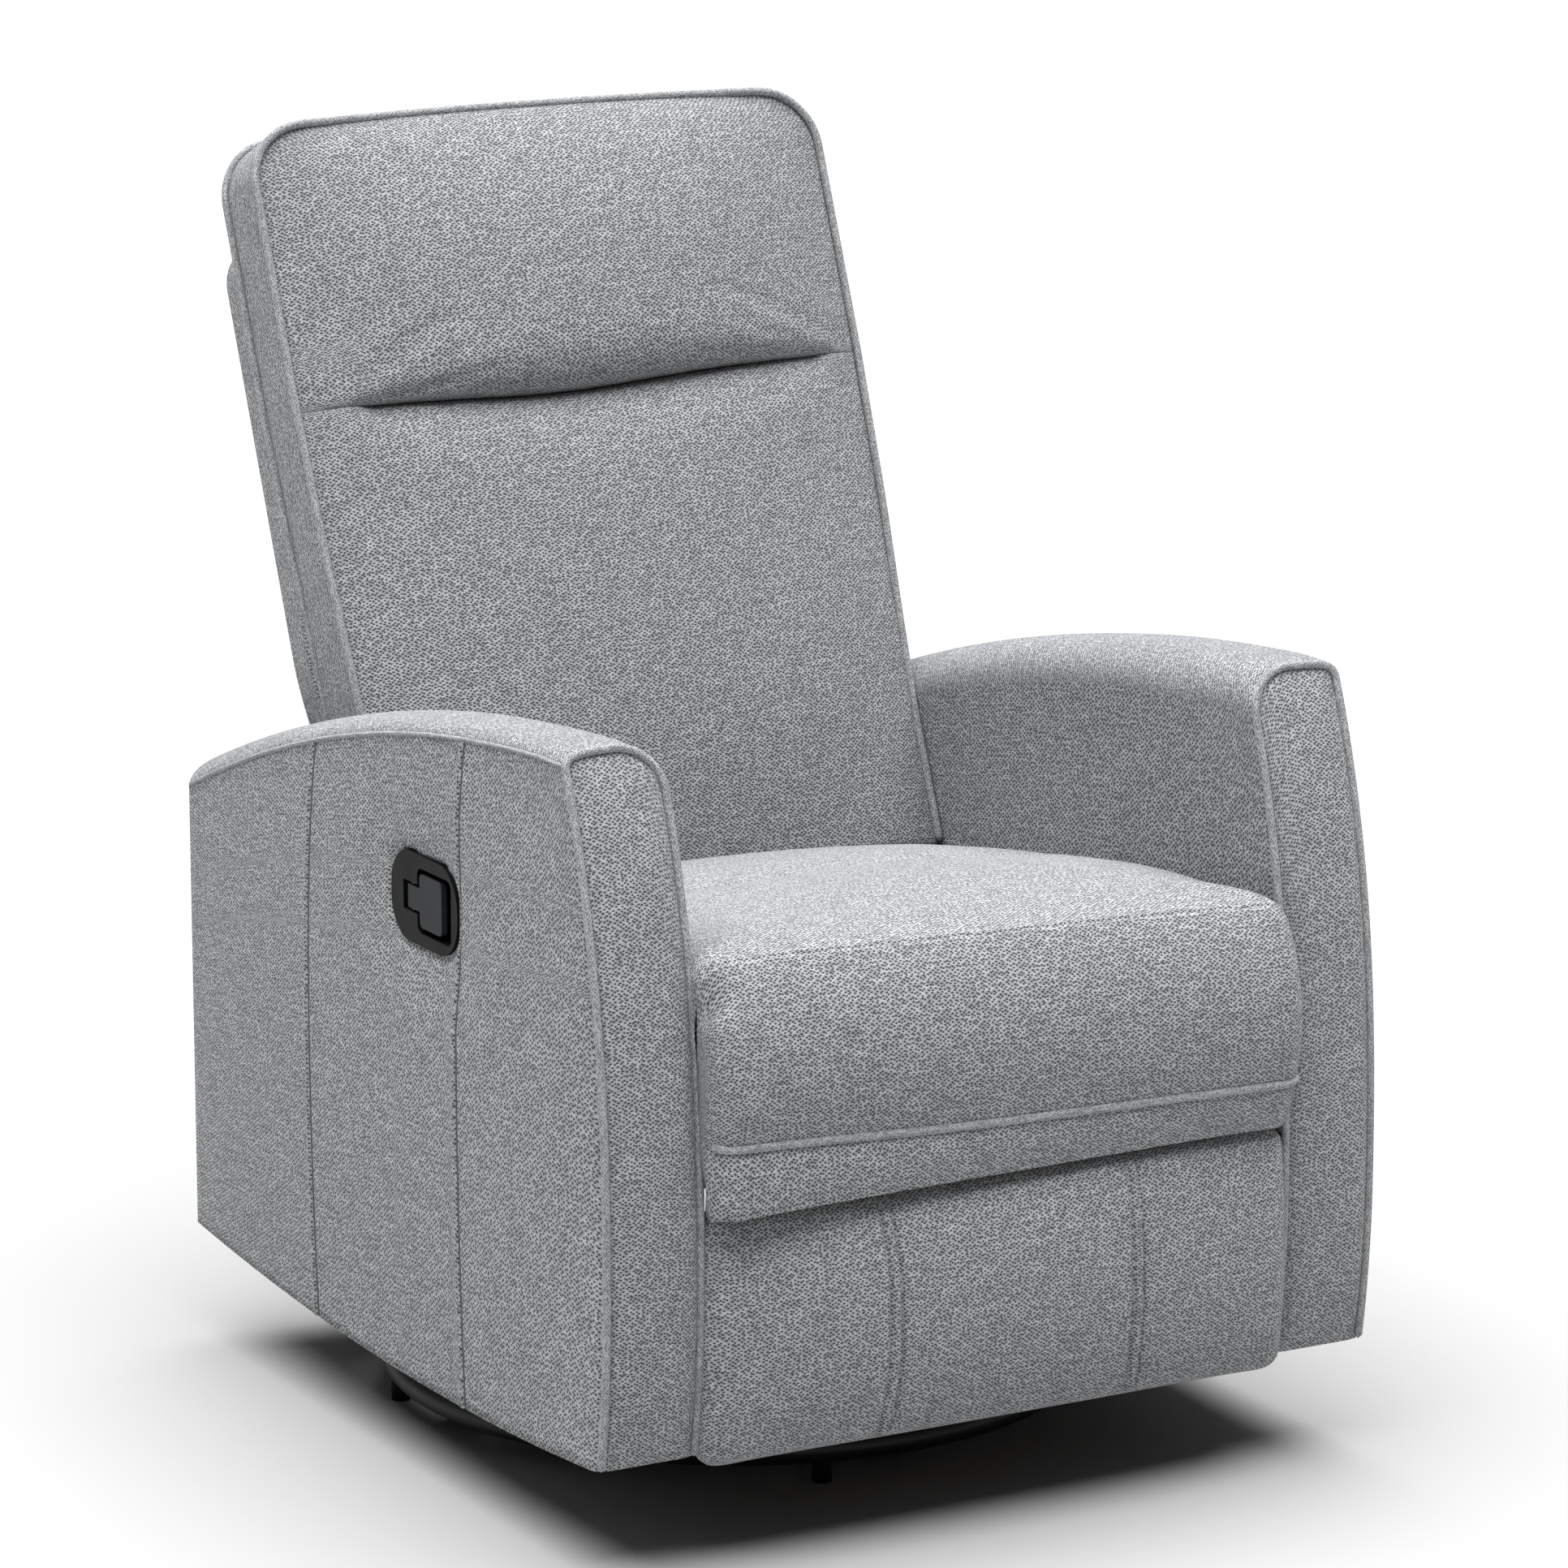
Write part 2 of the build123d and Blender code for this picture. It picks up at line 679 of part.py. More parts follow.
for name, side in sides.items():
    with BuildPart() as arm_frame:
        with BuildSketch(slab_plane(side, arm_frame_layer)):
            with BuildLine():
                arm_outline()
            make_face()
            offset(amount=-arm_padding, mode=Mode.REPLACE)
            with BuildSketch(mode=Mode.SUBTRACT):
                with BuildLine():
                    arm_outline()
                make_face()
                offset(amount=-arm_padding - arm_rim_width, mode=Mode.REPLACE)
        extrude(amount=depth(arm_frame_layer))
        with BuildSketch(slab_plane(side, arm_cross_rail_layer)):
            with BuildLine():
                arm_outline()
            make_face()
            offset(amount=-arm_padding - arm_rim_width / 2, mode=Mode.REPLACE)
            with BuildSketch(mode=Mode.INTERSECT):
                rise = (arm_cross_rail_height - rail_height) / 2
                Polygon(
                    (arm_front_bulge, deck(arm_front_bulge) + rise),
                    (arm_front_bulge, rail_bottom(arm_front_bulge) - rise),
                    (arm_back, rail_bottom(arm_back) - rise),
                    (arm_back, deck(arm_back) + rise),
                    align=None,
                )
        extrude(amount=arm_cross_rail_thickness)
        with BuildSketch(slab_plane(side, arm_frame_layer)):
            with Locations(*arm_bolt_points):
                Circle(arm_bolt_radius + running_gap)
        extrude(amount=depth(arm_frame_layer), mode=Mode.SUBTRACT)
    save(arm_frame, f"arm_frame_{name}")

    with BuildPart() as arm_cover:
        with BuildSketch(slab_plane(side, arm_layer)):
            with BuildLine():
                arm_outline()
            make_face()
        extrude(amount=arm_thickness)
        faces_by_x = arm_cover.faces().sort_by(Axis.X)
        rims = faces_by_x[0].edges() + faces_by_x[-1].edges()
        fillet([edge for edge in rims if edge.center().Z > arm_bottom + arm_padding], arm_edge_round)
        with BuildSketch(slab_plane(side, arm_frame_layer)):
            with BuildLine():
                arm_outline()
            make_face()
            offset(amount=-arm_padding, mode=Mode.REPLACE)
            mouth_length = arm_back - arm_front_knee - 2 * arm_padding - 2 * arm_rim_width
            with Locations(((arm_front_knee + arm_back) / 2, arm_bottom + arm_padding)):
                Rectangle(mouth_length, 2 * arm_padding + layer_gap)
        extrude(amount=depth(arm_frame_layer), mode=Mode.SUBTRACT)
        inner_wall = (arm_layer[0], arm_frame_layer[0])
        with BuildSketch(slab_plane(side, inner_wall)):
            with Locations(*arm_bolt_points):
                Circle(arm_bolt_radius + running_gap)
            if name == "left":
                with Locations((cable_route_y, cable_route_z)):
                    Circle(cable_radius + soft_gap)
        extrude(amount=depth(inner_wall), mode=Mode.SUBTRACT)
        if name == "left":
            with BuildSketch(side_plane(-arm_layer[1])):
                with Locations((cup_y, cup_z)):
                    RectangleRounded(
                        cup_body_length + 2 * soft_gap, cup_body_height + 2 * soft_gap, cup_body_corner
                    )
            extrude(amount=arm_side_padding, mode=Mode.SUBTRACT)
            with BuildSketch(side_plane(-arm_layer[1])):
                with Locations((cup_y, cup_z)):
                    RectangleRounded(cup_length + 2 * soft_gap, cup_height + 2 * soft_gap, cup_corner)
            extrude(amount=cup_flange_thickness, mode=Mode.SUBTRACT)
    save(arm_cover, f"arm_cover_{name}")

with BuildPart() as arm_bolts:
    for side in sides.values():
        shank_layer = (side_rail_layer[0], arm_cross_rail_layer[1])
        with BuildSketch(slab_plane(side, shank_layer)):
            with Locations(*arm_bolt_points):
                Circle(arm_bolt_radius)
        extrude(amount=depth(shank_layer))
        head_layer = (side_rail_layer[0] - arm_bolt_head_height, side_rail_layer[0])
        with BuildSketch(slab_plane(side, head_layer)):
            with Locations(*arm_bolt_points):
                RegularPolygon(arm_bolt_head_radius, 6)
        extrude(amount=arm_bolt_head_height)
save(arm_bolts, "arm_bolts")

with BuildPart() as rear_panel:
    rear_panel_back = arm_back - rear_panel_inset
    with BuildSketch(Plane.XY.offset(arm_bottom)):
        with Locations((0, rear_panel_back - rear_panel_thickness / 2)):
            Rectangle(2 * seat_half_width, rear_panel_thickness)
    extrude(amount=rear_panel_height - arm_bottom)
    top_edges = rear_panel.faces().sort_by(Axis.Z)[-1].edges().filter_by(Axis.X)
    fillet(top_edges, rear_panel_round)
save(rear_panel, "rear_panel")


# Release handle: a moulded cup let into the left arm, with a sprung paddle on a vertical pin
finger_pocket_middle = cup_y + finger_pocket_rear - finger_pocket_length / 2
stem_pocket_middle = cup_y + finger_pocket_rear + stem_pocket_length / 2
paddle_face = cup_face + paddle_recess
pivot_x = paddle_face + paddle_boss_radius
pivot_y = cup_y + paddle_pivot

with BuildPart() as release_cup:
    with BuildSketch(side_plane(cup_face)):
        with Locations((cup_y, cup_z)):
            RectangleRounded(cup_length, cup_height, cup_corner)
    extrude(amount=cup_flange_thickness)
    with BuildSketch(side_plane(cup_face)):
        with Locations((cup_y, cup_z)):
            RectangleRounded(cup_body_length, cup_body_height, cup_body_corner)
    extrude(amount=cup_depth)
    with BuildSketch(side_plane(cup_face)):
        with Locations((finger_pocket_middle, cup_z)):
            RectangleRounded(finger_pocket_length, finger_pocket_height, cup_flange_margin)
    extrude(amount=cup_depth - cup_floor, mode=Mode.SUBTRACT)
    with BuildSketch(side_plane(cup_face)):
        with Locations((stem_pocket_middle, cup_z)):
            Rectangle(stem_pocket_length, stem_pocket_height)
    extrude(amount=stem_pocket_depth, mode=Mode.SUBTRACT)
    with BuildSketch(Plane.XY.offset(cup_z - stem_pocket_height / 2 - paddle_pin_engagement)):
        with Locations((pivot_x, pivot_y)):
            Circle(paddle_pin_radius + running_gap)
    extrude(amount=stem_pocket_height + 2 * paddle_pin_engagement, mode=Mode.SUBTRACT)
save(release_cup, "release_cup")

with BuildPart() as release_paddle:
    with BuildSketch(side_plane(paddle_face)):
        with Locations((cup_y + paddle_rear - paddle_length / 2, cup_z)):
            RectangleRounded(paddle_length, paddle_height, paddle_thickness)
        stem_length = paddle_pivot - paddle_rear
        with Locations((cup_y + paddle_rear + stem_length / 2, cup_z)):
            Rectangle(stem_length + paddle_thickness, paddle_stem_height)
    extrude(amount=paddle_thickness)
    with BuildSketch(Plane.XY.offset(cup_z - paddle_stem_height / 2)):
        with Locations((pivot_x, pivot_y)):
            Circle(paddle_boss_radius)
    extrude(amount=paddle_stem_height)
    with BuildSketch(Plane.XY.offset(cup_z - paddle_stem_height / 2)):
        with Locations((pivot_x, pivot_y)):
            Circle(paddle_pin_radius + running_gap)
    extrude(amount=paddle_stem_height, mode=Mode.SUBTRACT)
save(release_paddle, "release_paddle")

with BuildPart() as release_pin:
    with BuildSketch(Plane.XY.offset(cup_z - stem_pocket_height / 2 - paddle_pin_engagement)):
        with Locations((pivot_x, pivot_y)):
            Circle(paddle_pin_radius)
    extrude(amount=stem_pocket_height + 2 * paddle_pin_engagement)
save(release_pin, "release_pin")

# The release cable runs down inside the arm, through its inner wall, to the left mechanism plate
cable_x = cup_back + cable_exit_run
cable_top_y = cup_y + cable_exit_y
cable_points = [
    (cup_back, cable_top_y, cup_z),
    (cable_x, cable_top_y, cup_z),
    (cable_x, cable_top_y + cable_sweep_back, cup_z - cable_sweep_drop),
    (cable_x, cable_route_y, cable_route_z + cable_wall_drop),
    (cable_x, cable_route_y, cable_route_z),
    (-plate_layer[1], cable_route_y, cable_route_z),
]
with BuildPart() as release_cable:
    with BuildLine() as cable_route:
        FilletPolyline(*cable_points, radius=cable_bends)
    with BuildSketch(Plane(origin=cable_route.line @ 0, z_dir=cable_route.line % 0)):
        Circle(cable_radius)
    sweep(path=cable_route.line)
save(release_cable, "release_cable")


# Back: sections run up the tilted back, with X across and the depth towards the rear
back_up = (0, sin(radians(back_tilt)), cos(radians(back_tilt)))
back_rear = (0, cos(radians(back_tilt)), -sin(radians(back_tilt)))


def back_point(height, rearward):
    """Side view point at a height up the back and a distance behind its front plane."""
    return (
        back_base_y + height * back_up[1] + rearward * back_rear[1],
        back_base_z + height * back_up[2] + rearward * back_rear[2],
    )


def back_section(height):
    """Plane square to the back at a height up it: X across, depth towards the rear."""
    return Plane(origin=(0, *back_point(height, 0)), x_dir=(1, 0, 0), z_dir=back_up)


def back_face(rearward):
    """Plane along the back at a depth behind its front plane: X across, up the back, facing front."""
    return Plane(origin=(0, *back_point(0, rearward)), x_dir=(1, 0, 0), z_dir=[-part for part in back_rear])


def back_half_width(height):
    """Half width of the back at a height: narrow between the arms, wider above them."""
    share = min(max(height / crease_height, 0), 1)
    return back_low_half_width + share * (back_top_half_width - back_low_half_width)


with BuildPart() as lumbar_cushion:
    lumbar_end = crease_height - crease_gap / 2
    for height, crown in (
        (lumbar_start, lumbar_foot_crown),
        (lumbar_start + lumbar_end_run, lumbar_crown),
        (lumbar_end - lumbar_end_run, lumbar_upper_crown),
        (lumbar_end, lumbar_top_crown),
    ):
        with BuildSketch(back_section(height)):
            with BuildLine():
                crowned_outline(back_half_width(height), back_depth, 0, crown, back_corner)
            make_face()
    loft()
save(lumbar_cushion, "lumbar_cushion")

with BuildPart() as head_cushion:
    head_start = crease_height + crease_gap / 2
    for height, crown in (
        (head_start, head_foot_crown),
        (head_start + head_end_run, head_crown),
        (back_length - head_end_run, head_upper_crown),
        (back_length, head_top_crown),
    ):
        with BuildSketch(back_section(height)):
            with BuildLine():
                crowned_outline(back_half_width(height), back_depth, 0, crown, back_corner)
            make_face()
    loft()
    with BuildSketch(back_face(back_depth)) as head_outline:
        with Locations((0, (back_length + crease_height) / 2)):
            Rectangle(2 * back_top_half_width, back_length - crease_height)
        fillet(head_outline.vertices().group_by(Axis.Z)[-1], head_outline_radius)
    extrude(amount=back_depth + 2 * head_crown, mode=Mode.INTERSECT)
save(head_cushion, "head_cushion")

webbing_front = back_depth
frame_front = webbing_front + webbing_thickness
frame_rear = frame_front + back_frame_thickness
shell_inside = frame_rear + soft_gap
shell_rear = shell_inside + outer_back_wall
back_frame_end = back_frame_start + back_frame_length
frame_window_half_width = swing_layer[1]

with BuildPart() as back_frame:
    lower_rail_start = back_bracket_reach + back_bracket_width / 2 + layer_gap
    middle_rail_start = (lower_rail_start + back_frame_end - back_frame_rail) / 2
    with BuildSketch(back_face(frame_rear)) as frame_outline:
        with Locations((0, (back_frame_start + back_frame_end) / 2)):
            Rectangle(2 * back_frame_half_width, back_frame_length)
        fillet(frame_outline.vertices().group_by(Axis.Y)[-1], outer_back_corner - outer_back_wall)
        for window_start, window_end in (
            (back_frame_start, lower_rail_start),
            (lower_rail_start + back_frame_rail, middle_rail_start),
            (middle_rail_start + back_frame_rail, back_frame_end - back_frame_rail),
        ):
            with Locations((0, (window_start + window_end) / 2)):
                Rectangle(2 * frame_window_half_width, window_end - window_start, mode=Mode.SUBTRACT)
    extrude(amount=back_frame_thickness)
save(back_frame, "back_frame")

with BuildPart() as back_webbing:
    with BuildSketch(back_face(frame_front)):
        webbing_pitch = (back_frame_length - 2 * back_frame_rail) / webbing_count
        for row in range(webbing_count):
            middle = back_frame_start + back_frame_rail + (row + 0.5) * webbing_pitch
            with Locations((0, middle)):
                Rectangle(2 * back_frame_half_width, webbing_width)
    extrude(amount=webbing_thickness)
save(back_webbing, "back_webbing")

with BuildPart() as outer_back:
    shell_half_width = back_frame_half_width + soft_gap + outer_back_wall
    with BuildSketch(back_face(shell_rear)) as shell_outline:
        with Locations((0, (outer_back_start + outer_back_length) / 2)):
            Rectangle(2 * shell_half_width, outer_back_length - outer_back_start)
        fillet(shell_outline.vertices().group_by(Axis.Z)[-1], outer_back_corner)
    extrude(amount=shell_rear - back_depth)
    rear_face = outer_back.faces().sort_by(Axis((0, 0, 0), back_rear))[-1]
    fillet(rear_face.edges(), outer_back_round)
    with BuildSketch(back_face(shell_inside)) as shell_hollow:
        hollow_half_width = back_frame_half_width + soft_gap
        hollow_end = outer_back_length - outer_back_wall
        with Locations((0, (back_frame_start + hollow_end) / 2)):
            Rectangle(2 * hollow_half_width, hollow_end - back_frame_start)
        fillet(shell_hollow.vertices().group_by(Axis.Z)[-1], outer_back_corner - outer_back_wall)
    extrude(amount=shell_inside - back_depth, mode=Mode.SUBTRACT)
save(outer_back, "outer_back")

for name, side in sides.items():
    with BuildPart() as back_bracket:
        bracket_knee = back_point(lumbar_start / 2, (frame_front + frame_rear) / 2)
        bracket_end = back_point(back_bracket_reach, (frame_front + frame_rear) / 2)
        with BuildSketch(slab_plane(side, swing_layer)):
            bar_outline([recline_axis, bracket_knee, bracket_end], back_bracket_width)
            with Locations(recline_axis):
                Circle(recline_lobe_radius)
            holes([recline_axis], recline_pin_radius)
        extrude(amount=link_thickness)
    save(back_bracket, f"back_bracket_{name}")


# Footrest linkage: parallel swing and idler links carry a bar, which carries the footrest
with BuildPart() as footrest_drive_tube:
    tube_half_length = swing_layer[1]
    with BuildSketch(side_plane(-tube_half_length)):
        with Locations(drive_axis):
            Circle(drive_tube_radius)
            Circle(drive_tube_radius - drive_tube_wall, mode=Mode.SUBTRACT)
    extrude(amount=2 * tube_half_length)
save(footrest_drive_tube, "footrest_drive_tube")

for name, side in sides.items():
    with BuildPart() as swing_link:
        with BuildSketch(slab_plane(side, swing_layer)):
            bar_outline([drive_axis, swing_end, crank_end], footrest_link_width)
            with Locations(drive_axis):
                Circle(drive_tube_radius + drive_tube_wall)
            holes([drive_axis], drive_tube_radius)
            holes([swing_end, crank_end], footrest_pin_radius)
        extrude(amount=link_thickness)
    save(swing_link, f"footrest_swing_link_{name}")

    with BuildPart() as idler_link:
        with BuildSketch(slab_plane(side, swing_layer)):
            bar_outline([idler_axis, idler_end], footrest_link_width)
            holes([idler_axis, idler_end], footrest_pin_radius)
        extrude(amount=link_thickness)
    save(idler_link, f"footrest_idler_link_{name}")

    with BuildPart() as carrier_bar:
        with BuildSketch(slab_plane(side, carrier_layer)):
            bar_outline([idler_end, swing_end, carrier_knee, footrest_hinge], carrier_width)
            holes([idler_end, swing_end, footrest_hinge], footrest_pin_radius)
        extrude(amount=link_thickness)
    save(carrier_bar, f"footrest_carrier_{name}")

    with BuildPart() as control_link:
        with BuildSketch(slab_plane(side, control_layer)):
            bar_outline([crank_end, control_end], control_width)
            holes([crank_end, control_end], footrest_pin_radius)
        extrude(amount=link_thickness)
    save(control_link, f"footrest_control_link_{name}")

    with BuildPart() as footrest_bracket:
        pad_y = footrest_board_back + bracket_pad_radius
        with BuildSketch(slab_plane(side, bracket_layer)):
            with Locations(footrest_hinge, control_end):
                Circle(bracket_lobe_radius)
            with Locations(
                (pad_y, footrest_hinge[1] + bracket_pad_reach),
                (pad_y, control_end[1] - bracket_pad_reach),
            ):
                Circle(bracket_pad_radius)
            make_hull()
            holes([footrest_hinge, control_end], footrest_pin_radius)
        extrude(amount=link_thickness)
    save(footrest_bracket, f"footrest_bracket_{name}")

for label, points, pin_layer in (
    ("footrest_swing_pins", [swing_end], (swing_layer[0], carrier_layer[1])),
    ("footrest_crank_pins", [crank_end], (swing_layer[0], control_layer[1])),
    ("footrest_idler_pins", [idler_end], (swing_layer[0], carrier_layer[1])),
    ("footrest_hinge_pins", [footrest_hinge], (carrier_layer[0], bracket_layer[1])),
    ("footrest_control_pins", [control_end], (bracket_layer[0], control_layer[1])),
):
    with BuildPart() as pins:
        for side in sides.values():
            with BuildSketch(slab_plane(side, pin_layer)):
                with Locations(*points):
                    Circle(footrest_pin_radius)
            extrude(amount=depth(pin_layer))
    save(pins, label)


# Footrest: a board with a padded front, sewn in three panels
board_front = footrest_board_back - footrest_board_thickness
with BuildPart() as footrest_board:
    board_height = footrest_top - footrest_bottom - 2 * footrest_board_margin
    with BuildSketch(Plane.XZ.offset(-footrest_board_back)):
        with Locations((0, (footrest_top + footrest_bottom) / 2)):
            Rectangle(2 * (footrest_half_width - footrest_board_margin), board_height)
    extrude(amount=footrest_board_thickness)
save(footrest_board, "footrest_board")


def panelled_outline(half_width, crown, sink):
    """Level outline of the footrest pad in the open line: flat rear, three bulging front panels.

    sink is how far the side panels stay behind the middle one.
    """
    edge = board_front - footrest_pad
    shoulder = edge + footrest_corner
    lean = footrest_corner * (1 - cos(radians(45)))
    seam = edge - crown + footrest_channel
    corner = half_width - footrest_corner
    outer = (corner + footrest_seam_x) / 2
    Line((-half_width, board_front), (half_width, board_front))
    Line((half_width, board_front), (half_width, shoulder))
    ThreePointArc((half_width, shoulder), (half_width - lean, edge + lean), (corner, edge))
    ThreePointArc((corner, edge), (outer, edge - crown + sink), (footrest_seam_x, seam))
    ThreePointArc((footrest_seam_x, seam), (0, edge - crown), (-footrest_seam_x, seam))
    ThreePointArc((-footrest_seam_x, seam), (-outer, edge - crown + sink), (-corner, edge))
    ThreePointArc((-corner, edge), (lean - half_width, edge + lean), (-half_width, shoulder))
    Line((-half_width, shoulder), (-half_width, board_front))


with BuildPart() as footrest_cushion:
    for level, crown, sink, draw_in in (
        (footrest_bottom, footrest_end_crown, footrest_end_sink, 0),
        ((footrest_bottom + footrest_top) / 2, footrest_crown, footrest_side_sink, footrest_draw_in),
        (footrest_top, footrest_end_crown, footrest_end_sink, 0),
    ):
        with BuildSketch(Plane.XY.offset(level)):
            with BuildLine():
                panelled_outline(footrest_half_width - draw_in, crown, sink)
            make_face()
    loft()
save(footrest_cushion, "footrest_cushion")
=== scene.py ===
import bmesh
import bpy
import numpy as np
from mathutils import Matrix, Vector


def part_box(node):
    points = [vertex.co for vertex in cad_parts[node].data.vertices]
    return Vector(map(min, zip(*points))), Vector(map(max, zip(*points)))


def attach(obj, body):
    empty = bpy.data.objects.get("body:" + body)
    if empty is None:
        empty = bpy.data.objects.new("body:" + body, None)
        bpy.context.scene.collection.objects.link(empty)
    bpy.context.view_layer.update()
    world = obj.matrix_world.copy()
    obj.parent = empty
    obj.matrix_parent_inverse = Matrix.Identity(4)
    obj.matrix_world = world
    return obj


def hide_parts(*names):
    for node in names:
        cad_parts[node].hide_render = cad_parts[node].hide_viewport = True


# A manual swivel glider recliner in heathered grey chenille, on a black ring base.
# Metres, in the frame of the solids: the floor is z 0, the chair faces -Y, +X is the viewer's right.
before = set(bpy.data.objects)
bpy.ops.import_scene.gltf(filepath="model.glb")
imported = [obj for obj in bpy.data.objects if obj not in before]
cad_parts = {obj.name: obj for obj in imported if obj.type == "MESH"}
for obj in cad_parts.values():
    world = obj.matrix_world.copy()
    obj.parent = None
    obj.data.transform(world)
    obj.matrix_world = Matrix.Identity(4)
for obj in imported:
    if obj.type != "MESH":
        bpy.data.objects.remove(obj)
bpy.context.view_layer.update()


# Studio: a pale grey matt floor that fills the view, under a broad even overhead light that
# brings it up to white. The camera stands well back and a little above the seat.
camera_place = Vector((-2.6467, -4.8202, 1.7980))
camera_aim = Vector((0.0301, -0.0004, 0.5132))
camera_lens = 157.08
floor_reach = 40.0
floor_pale = "#AEAEAE"
surround_white = "#FFFFFF"
surround_strength = 0.08
overhead_aim = Vector((0.03, -0.02, -1.0))
overhead_strength = 7.8
overhead_spread = 75.0


def linear(hex_colour):
    """sRGB hex to linear RGBA: c / 12.92 up to 0.04045, above it ((c + 0.055) / 1.055) ** 2.4."""
    srgb = np.array([int(hex_colour[i:i + 2], 16) for i in (1, 3, 5)]) / 255
    light = np.where(srgb <= 0.04045, srgb / 12.92, ((srgb + 0.055) / 1.055) ** 2.4)
    return (*light.tolist(), 1.0)


def add(tree, kind, inputs=None, **settings):
    """Add a shader node: settings are its properties, inputs its sockets as values or as links."""
    node = tree.nodes.new(kind)
    for name, value in settings.items():
        setattr(node, name, value)
    for socket, value in (inputs or {}).items():
        if isinstance(value, bpy.types.NodeSocket):
            tree.links.new(value, node.inputs[socket])
        else:
            node.inputs[socket].default_value = value
    return node


def finish_named(name):
    """A new material with nothing but its output: the material, its tree and the output."""
    material = bpy.data.materials.new(name)
    material.use_nodes = True
    material.node_tree.nodes.clear()
    return material, material.node_tree, add(material.node_tree, "ShaderNodeOutputMaterial")


matt_floor, tree, output = finish_named("pale_matt_floor")
floor_shader = add(tree, "ShaderNodeBsdfDiffuse", {"Color": linear(floor_pale)})
tree.links.new(floor_shader.outputs["BSDF"], output.inputs["Surface"])
corners = np.array([(-1, -1, 0), (1, -1, 0), (1, 1, 0), (-1, 1, 0)]) * floor_reach
floor_mesh = bpy.data.meshes.new("floor")
floor_mesh.from_pydata(corners.tolist(), [], [(0, 1, 2, 3)])
floor_mesh.materials.append(matt_floor)
floor = bpy.data.objects.new("floor", floor_mesh)
bpy.context.scene.collection.objects.link(floor)

surround = bpy.data.worlds.new("white_surround")
surround.use_nodes = True
surround.node_tree.nodes["Background"].inputs["Color"].default_value = linear(surround_white)
surround.node_tree.nodes["Background"].inputs["Strength"].default_value = surround_strength
bpy.context.scene.world = surround
bpy.context.scene.view_settings.view_transform = "Standard"

overhead_light = bpy.data.lights.new("overhead_light", "SUN")
overhead_light.energy = overhead_strength
overhead_light.angle = np.radians(overhead_spread)
overhead = bpy.data.objects.new("overhead_light", overhead_light)
overhead.rotation_euler = overhead_aim.to_track_quat("-Z", "Y").to_euler()
bpy.context.scene.collection.objects.link(overhead)

camera_data = bpy.data.cameras.new("camera")
camera_data.lens = camera_lens
camera_data.sensor_width = 36.0
camera = bpy.data.objects.new("camera", camera_data)
camera.location = camera_place
camera.rotation_euler = (camera_aim - camera_place).to_track_quat("-Z", "Y").to_euler()
bpy.context.scene.collection.objects.link(camera)
bpy.context.scene.camera = camera


# Floor base, swivel and glide carriage: bent and welded steel under black powder coat.
# The coat is satin black with the faint orange peel of baked powder, about 1.5 mm across.
powder_black = "#101113"
peel_size = 0.0015
dust_size = 1 / 14


def dress(material, *nodes):
    """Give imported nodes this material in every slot."""
    for name in nodes:
        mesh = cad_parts[name].data
        mesh.materials.clear()
        mesh.materials.append(material)


powder_coat, tree, output = finish_named("black_powder_coated_steel")
place = add(tree, "ShaderNodeTexCoord").outputs["Object"]
peel = add(tree, "ShaderNodeTexNoise", {"Vector": place, "Scale": 1 / peel_size, "Detail": 2.0})
dust = add(tree, "ShaderNodeTexNoise", {"Vector": place, "Scale": 1 / dust_size, "Detail": 4.0})
rough = add(tree, "ShaderNodeMapRange", {"Value": dust.outputs["Fac"], "To Min": 0.38, "To Max": 0.58})
bump = add(
    tree, "ShaderNodeBump", {"Height": peel.outputs["Fac"], "Strength": 0.25, "Distance": 0.0003}
)
coat = add(
    tree,
    "ShaderNodeBsdfPrincipled",
    {
        "Base Color": linear(powder_black),
        "Roughness": rough.outputs["Result"],
        "Normal": bump.outputs["Normal"],
    },
)
tree.links.new(coat.outputs["BSDF"], output.inputs["Surface"])
dress(
    powder_coat,
    "base_ring", "base_cross_bar", "base_half_bars", "swivel_lower_plate", "swivel_upper_plate",
    "carriage_bars", "carriage_upright_left", "carriage_upright_right",
    "mechanism_plate_left", "mechanism_plate_right", "back_bracket_left", "back_bracket_right",
    "glide_link_rear_left", "glide_link_rear_right", "glide_link_front_left", "glide_link_front_right",
    "footrest_drive_tube", "footrest_swing_link_left", "footrest_swing_link_right",
    "footrest_idler_link_left", "footrest_idler_link_right", "footrest_carrier_left",
    "footrest_carrier_right", "footrest_control_link_left", "footrest_control_link_right",
    "footrest_bracket_left", "footrest_bracket_right",
)


# Pins, bolts and bearing balls: zinc plated steel, bright with a soft blue-white bloom.
# The plating's roughness drifts a little over each piece.
zinc_white = "#B9BDC0"
bloom_size = 0.006

zinc_plate, tree, output = finish_named("zinc_plated_steel")
place = add(tree, "ShaderNodeTexCoord").outputs["Object"]
bloom = add(tree, "ShaderNodeTexNoise", {"Vector": place, "Scale": 1 / bloom_size, "Detail": 3.0})
rough = add(tree, "ShaderNodeMapRange", {"Value": bloom.outputs["Fac"], "To Min": 0.22, "To Max": 0.42})
plate = add(
    tree,
    "ShaderNodeBsdfPrincipled",
    {"Base Color": linear(zinc_white), "Metallic": 1.0, "Roughness": rough.outputs["Result"]},
)
tree.links.new(plate.outputs["BSDF"], output.inputs["Surface"])
dress(
    zinc_plate,
    "swivel_king_bolt", "swivel_balls", "glide_hanger_pins", "mechanism_pins", "arm_bolts",
    "release_pin", "footrest_swing_pins", "footrest_crank_pins", "footrest_idler_pins",
    "footrest_hinge_pins", "footrest_control_pins",
)


# Seat springs: hard drawn wire with a dark oiled skin, drawn smooth along its length.
wire_grey = "#4A4C50"
oil_size = 0.010

